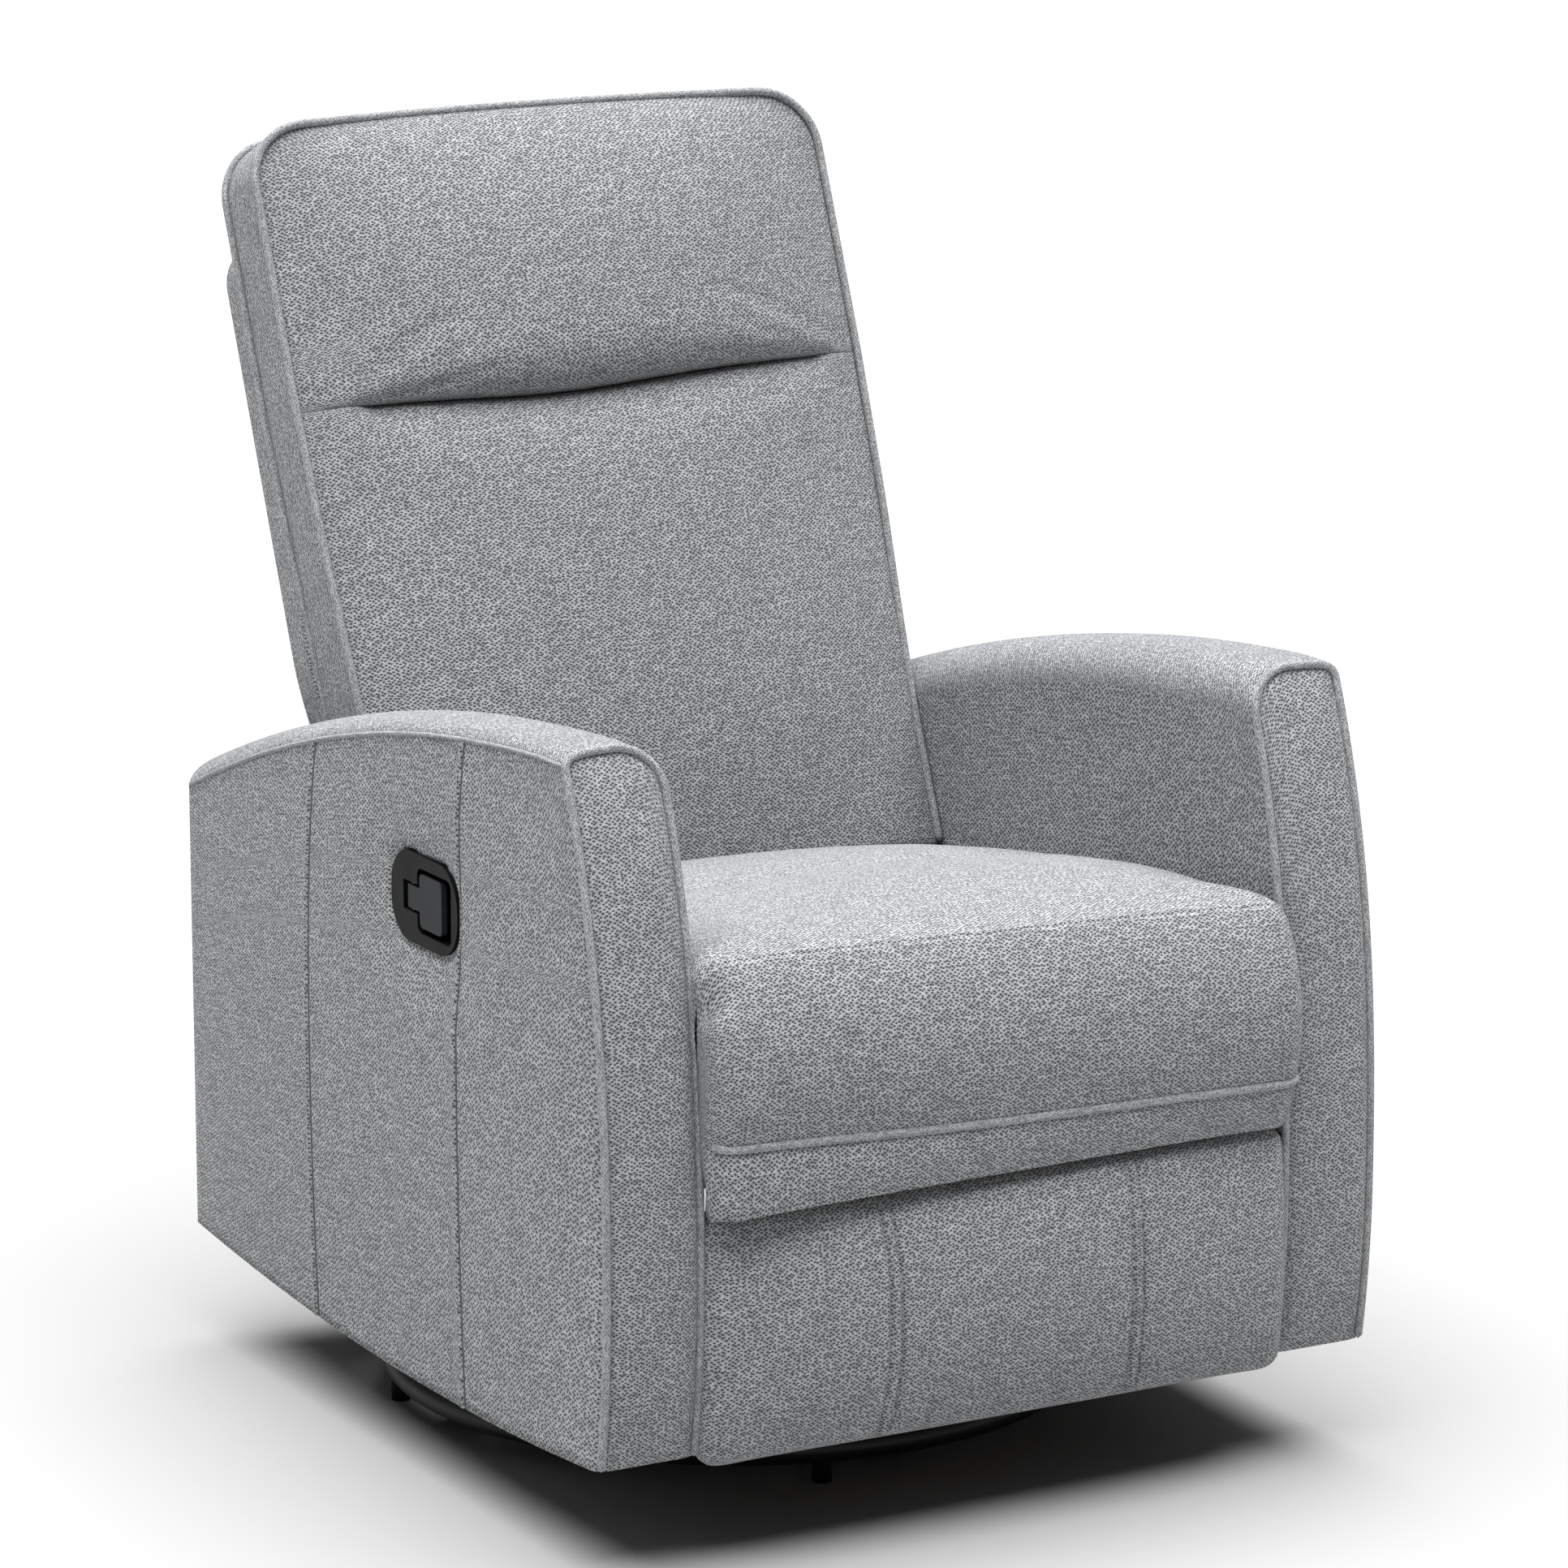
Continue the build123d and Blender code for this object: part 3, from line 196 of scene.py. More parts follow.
spring_wire, tree, output = finish_named("oiled_spring_wire")
place = add(tree, "ShaderNodeTexCoord").outputs["Object"]
oil = add(tree, "ShaderNodeTexNoise", {"Vector": place, "Scale": 1 / oil_size, "Detail": 3.0})
rough = add(tree, "ShaderNodeMapRange", {"Value": oil.outputs["Fac"], "To Min": 0.30, "To Max": 0.55})
wire = add(
    tree,
    "ShaderNodeBsdfPrincipled",
    {"Base Color": linear(wire_grey), "Metallic": 1.0, "Roughness": rough.outputs["Result"]},
)
tree.links.new(wire.outputs["BSDF"], output.inputs["Surface"])
dress(spring_wire, "seat_springs")


# Frames inside the upholstery: sawn eucalyptus rails and plywood, left bare.
# Growth rings show as bands about 9 mm apart, with fine pores along the grain.
wood_pale = "#C79F6C"
wood_dark = "#9A713F"
ring_width = 0.009
pore_size = 0.0012
grain_stretch = 18.0

sawn_wood, tree, output = finish_named("sawn_eucalyptus")
place = add(tree, "ShaderNodeTexCoord").outputs["Object"]
along = add(
    tree, "ShaderNodeMapping", {"Vector": place, "Scale": (1.0, 1 / grain_stretch, 1.0)}
).outputs["Vector"]
rings = add(tree, "ShaderNodeTexNoise", {"Vector": along, "Scale": 1 / ring_width, "Detail": 2.0})
pores = add(tree, "ShaderNodeTexNoise", {"Vector": along, "Scale": 1 / pore_size, "Detail": 1.0})
grain = add(
    tree,
    "ShaderNodeMixRGB",
    {"Fac": rings.outputs["Fac"], "Color1": linear(wood_pale), "Color2": linear(wood_dark)},
)
bump = add(
    tree, "ShaderNodeBump", {"Height": pores.outputs["Fac"], "Strength": 0.4, "Distance": 0.0004}
)
timber = add(
    tree,
    "ShaderNodeBsdfPrincipled",
    {"Base Color": grain.outputs["Color"], "Roughness": 0.65, "Normal": bump.outputs["Normal"]},
)
tree.links.new(timber.outputs["BSDF"], output.inputs["Surface"])
dress(
    sawn_wood,
    "seat_side_rails", "seat_front_rail", "seat_rear_rail", "arm_frame_left", "arm_frame_right",
    "back_frame", "footrest_board",
)


# Back webbing: elastic straps, black rubber threads under a ribbed polyester weave.
# The ribs run along each strap, about 3 mm apart.
webbing_black = "#26272A"
webbing_grey = "#4B4D50"
rib_spacing = 0.003

strap_weave, tree, output = finish_named("elastic_webbing")
place = add(tree, "ShaderNodeTexCoord").outputs["Object"]
ribs = add(
    tree,
    "ShaderNodeTexWave",
    {"Vector": place, "Scale": 2 * np.pi / (20 * rib_spacing), "Distortion": 0.5},
    bands_direction="Z",
)
shade = add(
    tree,
    "ShaderNodeMixRGB",
    {"Fac": ribs.outputs["Fac"], "Color1": linear(webbing_black), "Color2": linear(webbing_grey)},
)
bump = add(tree, "ShaderNodeBump", {"Height": ribs.outputs["Fac"], "Strength": 0.5, "Distance": 0.0005})
strap = add(
    tree,
    "ShaderNodeBsdfPrincipled",
    {"Base Color": shade.outputs["Color"], "Roughness": 0.85, "Normal": bump.outputs["Normal"]},
)
tree.links.new(strap.outputs["BSDF"], output.inputs["Surface"])
dress(strap_weave, "back_webbing")


# Release cup, paddle, cable sheath and feet: moulded black plastic with a spark-eroded grain
# of about 0.8 mm, drawn that coarse so that it shows. The paddle is worn a little lighter.
cup_black = "#0B0C0D"
paddle_grey = "#282A2D"
sheath_black = "#101113"
mould_grain = 0.0008
wear_size = 1 / 30

for name, colour, roughness, nodes in (
    ("moulded_black_plastic", cup_black, 0.52, ["release_cup"]),
    ("moulded_paddle_plastic", paddle_grey, 0.48, ["release_paddle"]),
    ("soft_black_vinyl", sheath_black, 0.60, ["release_cable", "base_feet"]),
):
    moulding, tree, output = finish_named(name)
    place = add(tree, "ShaderNodeTexCoord").outputs["Object"]
    erosion = add(tree, "ShaderNodeTexNoise", {"Vector": place, "Scale": 1 / mould_grain, "Detail": 2.0})
    handling = add(tree, "ShaderNodeTexNoise", {"Vector": place, "Scale": 1 / wear_size, "Detail": 3.0})
    gloss = add(
        tree,
        "ShaderNodeMapRange",
        {"Value": handling.outputs["Fac"], "To Min": roughness - 0.08, "To Max": roughness + 0.08},
    )
    bump = add(
        tree, "ShaderNodeBump", {"Height": erosion.outputs["Fac"], "Strength": 0.2, "Distance": 0.0002}
    )
    plastic = add(
        tree,
        "ShaderNodeBsdfPrincipled",
        {
            "Base Color": linear(colour),
            "Roughness": gloss.outputs["Result"],
            "Specular IOR Level": 0.12,
            "Normal": bump.outputs["Normal"],
        },
    )
    tree.links.new(plastic.outputs["BSDF"], output.inputs["Surface"])
    dress(moulding, *nodes)


# Arms: foam over a timber frame, in one sewn chenille cover. A front panel with piped edges,
# a side in three widths with top-stitched seams, and a top that rolls over into the inner face.
arm_inner = 0.264
arm_thickness = 0.086
arm_front = -0.403
arm_back = 0.352
arm_bottom = 0.077
bottom_rise = 0.020
bottom_low = -0.050
bottom_reach = 0.39
front_lean = 0.063
front_belly_height = 0.240
front_top_height = 0.640
front_foot_tuck = 0.012
foot_tuck_height = 0.15
lean_fade = 0.20
crest_height = 0.650
crest_start = -0.340
crest_fall = 0.0246
crest_bow = 0.26
side_drop_front = 0.003
side_drop_back = 0.014
outer_roll = 0.008
outer_roll_share = 0.15
inner_roll = 0.036
roll_share = 0.47
side_bulge = 0.005
panel_puff = 0.008
side_seams = (-0.162, 0.110)
seam_lean = 0.012
stitch_groove = (0.0012, 0.0014)
stitch_fold = (0.0014, 0.0028)
stitch_fold_offset = 0.0042
seam_dip = 0.0025
seam_dip_width = 0.006
seam_dip_fade = 0.004
cup_middle = (-0.099, 0.480)
cup_half_size = (0.059, 0.037)
cup_corner = 0.030
cup_height_share = 0.705
cup_flat = (0.004, 0.06)
cup_rim = 0.0035
cup_rim_reach = 0.010
cup_pocket = 0.036
cup_pocket_edge = (0.005, 0.004)
piping_radius = 0.0033
piping_proud = 0.0025
lip_radius = 0.0019
# Dark cord in the arm side seams: painted shade along the fold of each seam
seam_shadow_radius = 0.0009
seam_shadow_proud = 0.0005

# The chenille: soft tufted yarn, pale grey over a dark ground that shows as short dashes between the
# floats, with heather streaks of about 28 by 2 mm. The piping is cut on the bias and stretched round
# its cord, so that less of the ground shows.
yarn_pale = "#C2C4C6"
yarn_mid = "#8E9092"
ground_dark = "#26282A"
streak_dark = "#8A8C90"
float_length = 0.0049
float_row = 0.0017
streak_length = 0.028
streak_width = 0.002
fuzz_size = 0.0006
dash_edges = (0.10, 0.51)
streak_edges = (0.42, 0.72)
streak_strength = 0.5
# Painted seam shadow: the dark grey of the cord laid in the arm seams
seam_shadow_grey = "#5C5E60"
seam_shadow_twist = 0.001


def chenille(name, size, ground_share):
    """Chenille with floats of the given size against the panels', and a share of ground that shows.

    Its dashes are the cells of a grid turned by 45 degrees, so that each row is staggered.
    """
    material, tree, output = finish_named(name)
    cloth = add(tree, "ShaderNodeTexCoord").outputs["UV"]
    pitch = (np.sqrt(2) / (size * float_length), 1 / (np.sqrt(2) * size * float_row), 1.0)
    laid = add(
        tree, "ShaderNodeMapping", {"Vector": cloth, "Scale": pitch, "Rotation": (0.0, 0.0, np.pi / 4)}
    )
    floats = add(
        tree,
        "ShaderNodeTexVoronoi",
        {"Vector": laid.outputs["Vector"], "Scale": 1.0, "Randomness": 0.5},
        voronoi_dimensions="2D",
    )
    tone = add(
        tree,
        "ShaderNodeMixRGB",
        {"Fac": floats.outputs["Color"], "Color1": linear(yarn_pale), "Color2": linear(yarn_mid)},
    )
    dashes = add(
        tree,
        "ShaderNodeMapRange",
        {
            "Value": floats.outputs["Distance"],
            "From Min": dash_edges[0],
            "From Max": dash_edges[1],
            "To Min": ground_share,
            "To Max": 0.0,
        },
        interpolation_type="SMOOTHSTEP",
    )
    woven = add(
        tree,
        "ShaderNodeMixRGB",
        {
            "Fac": dashes.outputs["Result"],
            "Color1": tone.outputs["Color"],
            "Color2": linear(ground_dark),
        },
    )
    stretch = (1 / streak_length, 1 / streak_width, 1.0)
    stretched = add(tree, "ShaderNodeMapping", {"Vector": cloth, "Scale": stretch})
    streaks = add(
        tree, "ShaderNodeTexNoise", {"Vector": stretched.outputs["Vector"], "Scale": 1.0, "Detail": 3.0}
    )
    streak_share = add(
        tree,
        "ShaderNodeMapRange",
        {
            "Value": streaks.outputs["Fac"],
            "From Min": streak_edges[0],
            "From Max": streak_edges[1],
            "To Max": streak_strength * ground_share,
        },
    )
    heather = add(
        tree,
        "ShaderNodeMixRGB",
        {
            "Fac": streak_share.outputs["Result"],
            "Color1": woven.outputs["Color"],
            "Color2": linear(streak_dark),
        },
        blend_type="MULTIPLY",
    )
    fuzz = add(tree, "ShaderNodeTexNoise", {"Vector": cloth, "Scale": 1 / fuzz_size, "Detail": 2.0})
    pile = add(
        tree,
        "ShaderNodeMath",
        {0: fuzz.outputs["Fac"], 1: dashes.outputs["Result"]},
        operation="SUBTRACT",
    )
    bump = add(
        tree, "ShaderNodeBump", {"Height": pile.outputs["Value"], "Strength": 0.6, "Distance": 0.0008}
    )
    yarn = add(
        tree,
        "ShaderNodeBsdfPrincipled",
        {
            "Base Color": heather.outputs["Color"],
            "Roughness": 0.92,
            "Specular IOR Level": 0.2,
            "Sheen Weight": 0.1,
            "Sheen Roughness": 0.45,
            "Normal": bump.outputs["Normal"],
        },
    )
    tree.links.new(yarn.outputs["BSDF"], output.inputs["Surface"])
    return material


panel_cloth = chenille("grey_chenille", 1.0, 0.95)
bias_cloth = chenille("bias_cut_chenille", 0.75, 0.65)

# Painted seam shadow: a dark grey cord in each top-stitched arm seam that draws the shade of its fold as
# an unbroken line. Dull, with a twist bump of about 1 mm
seam_shadow_cord, tree, output = finish_named("painted_seam_shadow")
laid = add(tree, "ShaderNodeTexCoord").outputs["UV"]
twist = add(tree, "ShaderNodeTexNoise", {"Vector": laid, "Scale": 1 / seam_shadow_twist, "Detail": 1.0})
bump = add(tree, "ShaderNodeBump", {"Height": twist.outputs["Fac"], "Strength": 0.4, "Distance": 0.0002})
waxed = add(
    tree,
    "ShaderNodeBsdfPrincipled",
    {"Base Color": linear(seam_shadow_grey), "Roughness": 0.8, "Normal": bump.outputs["Normal"]},
)
tree.links.new(waxed.outputs["BSDF"], output.inputs["Surface"])


def laid_flat(points):
    """Cloth lengths of a grid of points: the mean distance from line to line, added up both ways."""
    down = np.linalg.norm(np.diff(points, axis=0), axis=2).mean(axis=1)
    over = np.linalg.norm(np.diff(points, axis=1), axis=2).mean(axis=0)
    return np.meshgrid(np.append(0, np.cumsum(down)), np.append(0, np.cumsum(over)), indexing="ij")


def sewn_mesh(name, vertices, quads, flats, cloth, held=None):
    """A smooth object of one cloth from points, quads and each quad corner's place on the flat cloth,
    with points that coincide merged and faces turned outwards."""
    mesh = bpy.data.meshes.new(name)
    mesh.from_pydata(vertices.tolist(), [], quads.tolist())
    mesh.uv_layers.new(name="cloth").data.foreach_set("uv", flats[quads.ravel()].ravel())
    if held is not None:
        mesh.attributes.new("sewn", "FLOAT", "POINT").data.foreach_set("value", held)
    merged = bmesh.new()
    merged.from_mesh(mesh)
    bmesh.ops.remove_doubles(merged, verts=merged.verts, dist=1e-5)
    bmesh.ops.recalc_face_normals(merged, faces=merged.faces)
    merged.to_mesh(mesh)
    merged.free()
    mesh.polygons.foreach_set("use_smooth", np.ones(len(mesh.polygons), bool))
    mesh.materials.append(cloth)
    piece = bpy.data.objects.new(name, mesh)
    bpy.context.scene.collection.objects.link(piece)
    return piece


def grid_quads(rows, columns, start=0):
    """Corner numbers of a grid's quads, from the number of its first point on."""
    index = start + np.arange(rows * columns).reshape(rows, columns)
    corners = [index[:-1, :-1], index[:-1, 1:], index[1:, 1:], index[1:, :-1]]
    return np.stack(corners, axis=-1).reshape(-1, 4)


def cover(name, form, samples, body, nodes, free=None, threads=("w", "w", "v"), coarse=(1, 1, 1)):
    """Closed sewn cover: the six faces of a unit block, shaped by form and merged at their edges.

    form(u, v, w) gives the points of a grid. samples are the steps of u, v and w from 0 to 1.
    free(u, v, w) is true where no seam holds the cloth. threads names, for the faces across
    u, v and w, the parameter that the yarn floats run along, and coarse their size there.
    """
    points, flats, held, quads, start = [], [], [], [], 0
    for axis in range(3):
        others = [i for i in range(3) if i != axis]
        rows, columns = [len(samples[other]) for other in others]
        for end in (0, -1):
            steps = [samples[axis][[end]]] * 3
            for other in others:
                steps[other] = samples[other]
            u, v, w = np.meshgrid(*steps, indexing="ij")
            sheet = form(u, v, w).reshape(rows, columns, 3)
            flat = laid_flat(sheet)
            if threads[axis] == "uvw"[others[1]]:
                flat = flat[::-1]
            points.append(sheet.reshape(-1, 3))
            flats.append(np.stack(flat, axis=-1).reshape(-1, 2) / coarse[axis])
            held.append(np.ones(u.size) if free is None else 1.0 - free(u, v, w).ravel())
            quads.append(grid_quads(rows, columns, start))
            start += rows * columns
    joined = [np.concatenate(group) for group in (points, quads, flats)]
    piece = sewn_mesh(name, *joined, panel_cloth, np.concatenate(held))
    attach(piece, body)
    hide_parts(*nodes)
    return piece


def piping(name, path, facing, radius, body, sides=12, step=0.004, cloth=bias_cloth):
    """Welt cord: a circle carried along path in even steps, turned by facing, closed to a point at
    both ends."""
    length = np.append(0, np.cumsum(np.linalg.norm(np.diff(path, axis=0), axis=1)))
    even = np.linspace(0, length[-1], int(length[-1] / step) + 2)
    line = np.stack([np.interp(even, length, path[:, i]) for i in range(3)], axis=1)
    along = np.gradient(line, axis=0)
    along /= np.linalg.norm(along, axis=1, keepdims=True)
    side = np.cross(along, facing)
    side /= np.linalg.norm(side, axis=1, keepdims=True)
    out = np.cross(side, along)
    turn = np.linspace(0, 2 * np.pi, sides + 1)
    ring = np.cos(turn)[:, None] * out[:, None] + np.sin(turn)[:, None] * side[:, None]
    taper = np.ones(len(line))
    taper[[0, -1]] = 0.0
    points = line[:, None] + radius * taper[:, None, None] * ring
    flat = np.stack(np.meshgrid(even, turn * radius, indexing="ij"), axis=-1)
    quads = grid_quads(len(line), sides + 1)
    piece = sewn_mesh(name, points.reshape(-1, 3), quads, flat.reshape(-1, 2), cloth)
    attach(piece, body)
    return piece


def refined(steps, *places, reach=0.02, count=13):
    """Steps from 0 to 1 with more of them within reach of the given places."""
    near = [place + np.linspace(-reach, reach, count) for place in places]
    together = np.unique(np.round(np.concatenate([steps, *near]), 6))
    return together[(together >= 0) & (together <= 1)]


def smooth(x):
    """Smooth step from 0 to 1: 3 x^2 - 2 x^3 on x clipped to that range."""
    x = np.clip(x, 0, 1)
    return x * x * (3 - 2 * x)


def quarter_round(x):
    """Drop of a quarter circle of radius 1: 1 - (1 - x^2)^0.5 on x clipped to 0..1."""
    return 1 - np.sqrt(1 - np.clip(x, 0, 1) ** 2)


def groove(distance, depth, width):
    """Sewn groove: depth e^-(distance / width)^2."""
    return depth * np.exp(-((distance / width) ** 2))


def stitched(distance):
    """Top-stitched seam: a groove at distance 0, beside a fold that stands proud."""
    return groove(distance - stitch_fold_offset, *stitch_fold) - groove(distance, *stitch_groove)


def rounded_box_distance(across, up, half_size, corner):
    """Distance outside a rectangle with round corners, negative inside it."""
    over = np.abs(across) - (half_size[0] - corner)
    rise = np.abs(up) - (half_size[1] - corner)
    outside = np.hypot(np.maximum(over, 0), np.maximum(rise, 0))
    return outside + np.minimum(np.maximum(over, rise), 0) - corner


def front_line(z):
    """Arm front at a height: y = front + tuck ((belly - z) / tuck height)^2 below the belly, and
    front + lean ((z - belly) / (top - belly))^2.5 above it."""
    low = np.maximum(front_belly_height - z, 0) / foot_tuck_height
    high = np.maximum(z - front_belly_height, 0) / (front_top_height - front_belly_height)
    return arm_front + front_foot_tuck * low ** 2 + front_lean * high ** 2.5


def arm_form(side):
    """Shape of one arm: u runs to the back, v up and w from the inner to the outer face.

    The top is a quarter ellipse from the inner face to the crest, then falls as a parabola and a
    small quarter ellipse to the side seam. The bottom sags as a parabola. Front and back panels swell by
    puff (1 - (2w - 1)^4) (1 - (2v - 1)^8), and the cloth dips towards the piped front seam.
    """

    def form(u, v, w):
        station = arm_front + u * (arm_back - arm_front)
        run = np.maximum(station - crest_start, 0)
        crest = crest_height - crest_fall * run - crest_bow * run ** 2
        drop = side_drop_front + side_drop_back * (run / (arm_back - crest_start)) ** 2
        roll = inner_roll * quarter_round((roll_share - w) / roll_share)
        roll = roll + outer_roll * quarter_round((w - 1 + outer_roll_share) / outer_roll_share)
        top = crest - roll - drop * (np.maximum(w - roll_share, 0) / (1 - roll_share)) ** 2
        bottom = arm_bottom + bottom_rise * ((station - bottom_low) / bottom_reach) ** 2
        z = bottom + v * (top - bottom)
        behind = station - arm_front
        fade = np.clip(1 - behind / lean_fade, 0, 1) ** 2
        puff = panel_puff * (1 - (2 * w - 1) ** 4) * (1 - (2 * v - 1) ** 8)
        inward = np.minimum(np.minimum(w, 1 - w) * arm_thickness, (1 - v) * (top - bottom))
        recess = groove(inward, seam_dip, seam_dip_width) * np.exp(-behind / seam_dip_fade)
        y = station + (front_line(z) - arm_front) * fade + np.where(u < 0.5, -puff, puff) + recess
        bulge = side_bulge * 4 * v * (1 - v) * (1 - (2 * u - 1) ** 6)
        seam = sum(stitched(y - place + seam_lean * v ** 8) for place in side_seams) * (v < 1)
        dip = groove(behind, seam_dip, seam_dip_width)
        dent = 0.0
        if side < 0:
            away = rounded_box_distance(y - cup_middle[0], z - cup_middle[1], cup_half_size, cup_corner)
            bulge = bulge * smooth((away - cup_flat[0]) / cup_flat[1])
            dent = cup_rim * smooth((cup_rim_reach - away) / cup_rim_reach)
            dent = dent + cup_pocket * smooth((-cup_pocket_edge[0] - away) / cup_pocket_edge[1])
        x = side * (arm_inner + arm_thickness * w + (bulge + seam - dent) * w - dip * (2 * w - 1))
        return np.stack([x, y, z - dip * v], axis=-1)

    return form


def share_along(y):
    """Arm parameter u of a station."""
    return (y - arm_front) / (arm_back - arm_front)


front_steps = np.linspace(0, 0.03, 12)
side_share = np.linspace(0, 1, 14)
across_steps = np.unique(
    np.concatenate(
        [
            roll_share * (1 - np.cos(np.pi / 2 * side_share)),
            np.linspace(roll_share, 1, 12),
            1 - outer_roll_share * (1 - np.sin(np.pi / 2 * side_share)),
        ]
    )
)
up_steps = np.unique(np.concatenate([np.linspace(0, 1, 64), 1 - 0.03 * side_share]))
along_steps = np.unique(np.concatenate([np.linspace(0, 1, 100), front_steps]))
along_steps = refined(along_steps, *[share_along(y) for y in side_seams], reach=0.016, count=21)
cup_up_steps = refined(up_steps, cup_height_share, reach=0.09, count=60)
cup_along_steps = refined(along_steps, share_along(cup_middle[0]), reach=0.09, count=70)
for name, side in (("left", -1), ("right", 1)):
    form = arm_form(side)
    samples = (
        cup_along_steps if side < 0 else along_steps,
        cup_up_steps if side < 0 else up_steps,
        across_steps,
    )
    # The sides are seen at a slant, so that their yarn is drawn coarser to show
    cover(
        f"arm_{name}",
        form,
        samples,
        "chair",
        [f"arm_cover_{name}"],
        threads=("w", "w", "u"),
        coarse=(1, 1, 1.25),
    )
    rise = np.linspace(0, 1, 160)
    over = across_steps[::-1]
    edges = [
        (0 * rise, rise, 0 * rise + 1),
        (0 * over, 0 * over + 1, over),
        (0 * rise, rise[::-1], 0 * rise),
    ]
    path = np.concatenate([form(*edge) for edge in edges])
    path[:, 1] -= piping_proud
    piping(f"arm_front_piping_{name}", path, (0.0, -1.0, 0.0), piping_radius, "chair")
    run = np.linspace(0, 1, 200)
    lip = form(run, 0 * run + 1, 0 * run + 1)
    piping(f"arm_side_lip_{name}", lip, (0.0, 0.0, 1.0), lip_radius, "chair", sides=8)
    # A dark cord in each side seam: painted shade for the shadow of its fold
    climb = np.linspace(0, 0.996, 160)
    for part, place in zip(("front", "rear"), side_seams):
        seam_shadow_line = form(share_along(place - seam_lean * climb ** 8), climb, 0 * climb + 1)
        seam_shadow_line[:, 0] += side * seam_shadow_proud
        outward = (side, 0.0, 0.0)
        piping(f"arm_{part}_seam_{name}", seam_shadow_line, outward, seam_shadow_radius, "chair", 6, cloth=seam_shadow_cord)


# Seat: a foam cushion on the zigzag springs and a padded front, in one sewn cover. The top is
# stitched across, seamed where it turns over the front rail, and piped above a short front flap.
seat_back = 0.150
seat_top_height = 0.483
seat_top_slope = 0.12
seat_top_bow = 0.08
seat_top_start = -0.360
seat_tilt = 0.0055
seat_left_lift = 0.005
seat_crown = 0.017
deck_front = -0.4000
deck_front_height = 0.4147
deck_slope = 0.1584
seat_half_width = 0.2615
front_half_width = 0.2675
seat_end_round = 0.022
fold_start = -0.360
fold_radius = 0.097
fold_turn = np.radians((-7.0, 20.0))
front_radius = 0.1536
front_turn = np.radians((52.0, 108.0))
rail_face = -0.4008
hem_place = (-0.424, 0.2925)
hem_skew = 0.010
flap_thickness = 0.012
cloth_length = 0.753
fold_share = 0.677
seam_share = 0.738
piped_share = 0.938
cross_seam = -0.090
tuck_depth = 0.018
tuck_reach = 0.05
tuck_below_seam = 0.026
tuck_height = 0.012
front_fade = 0.14
front_crown_share = 0.3
flap_belly = 0.003
flap_corner_drop = 0.003
front_facing = np.radians(97)
seam_groove = (0.0025, 0.0024)
piped_groove = (0.0020, 0.0035)
cross_groove = (0.0010, 0.0022)
cross_skew = 0.01
deck_edge_drop = 0.02
front_piping_radius = 0.0036
front_piping_proud = 0.0012


def swell(piece, pressure, most, frames=20):
    """Cloth simulation of a cover under pressure from inside: sewn points stay where they are.

    Each other point moves by d, drawn back to most * tanh(d / most), and the result is kept as
    the mesh. Gravity is off, so the cover takes its shape from its own fill.
    """
    mesh = piece.data
    rest = np.empty(len(mesh.vertices) * 3, np.float32)
    mesh.vertices.foreach_get("co", rest)
    rest = rest.reshape(-1, 3)
    held = np.empty(len(rest), np.float32)
    mesh.attributes["sewn"].data.foreach_get("value", held)
    piece.vertex_groups.new(name="sewn").add(np.flatnonzero(held > 0.5).tolist(), 1.0, "REPLACE")
    cloth = piece.modifiers.new("cloth", "CLOTH")
    cloth.settings.vertex_group_mass = "sewn"
    cloth.settings.quality = 5
    cloth.settings.mass = 0.004
    cloth.settings.tension_stiffness = 12.0
    cloth.settings.compression_stiffness = 12.0
    cloth.settings.shear_stiffness = 5.0
    cloth.settings.bending_stiffness = 0.2
    cloth.settings.air_damping = 2.0
    cloth.settings.use_pressure = True
    cloth.settings.uniform_pressure_force = pressure
    cloth.settings.effector_weights.gravity = 0.0
    cloth.collision_settings.use_collision = False
    for step in range(1, frames + 1):
        bpy.context.scene.frame_set(step)
    shown = piece.evaluated_get(bpy.context.evaluated_depsgraph_get())
    moved = np.empty(len(rest) * 3, np.float32)
    shown.data.vertices.foreach_get("co", moved)
    move = moved.reshape(-1, 3) - rest
    length = np.maximum(np.linalg.norm(move, axis=1, keepdims=True), 1e-9)
    piece.modifiers.remove(cloth)
    bpy.context.scene.frame_set(1)
    mesh.vertices.foreach_set("co", (rest + move * (most * np.tanh(length / most) / length)).ravel())
    mesh.update()


def deck(y):
    """Height of the pitched seat deck."""
    return deck_front_height - deck_slope * (y - deck_front)


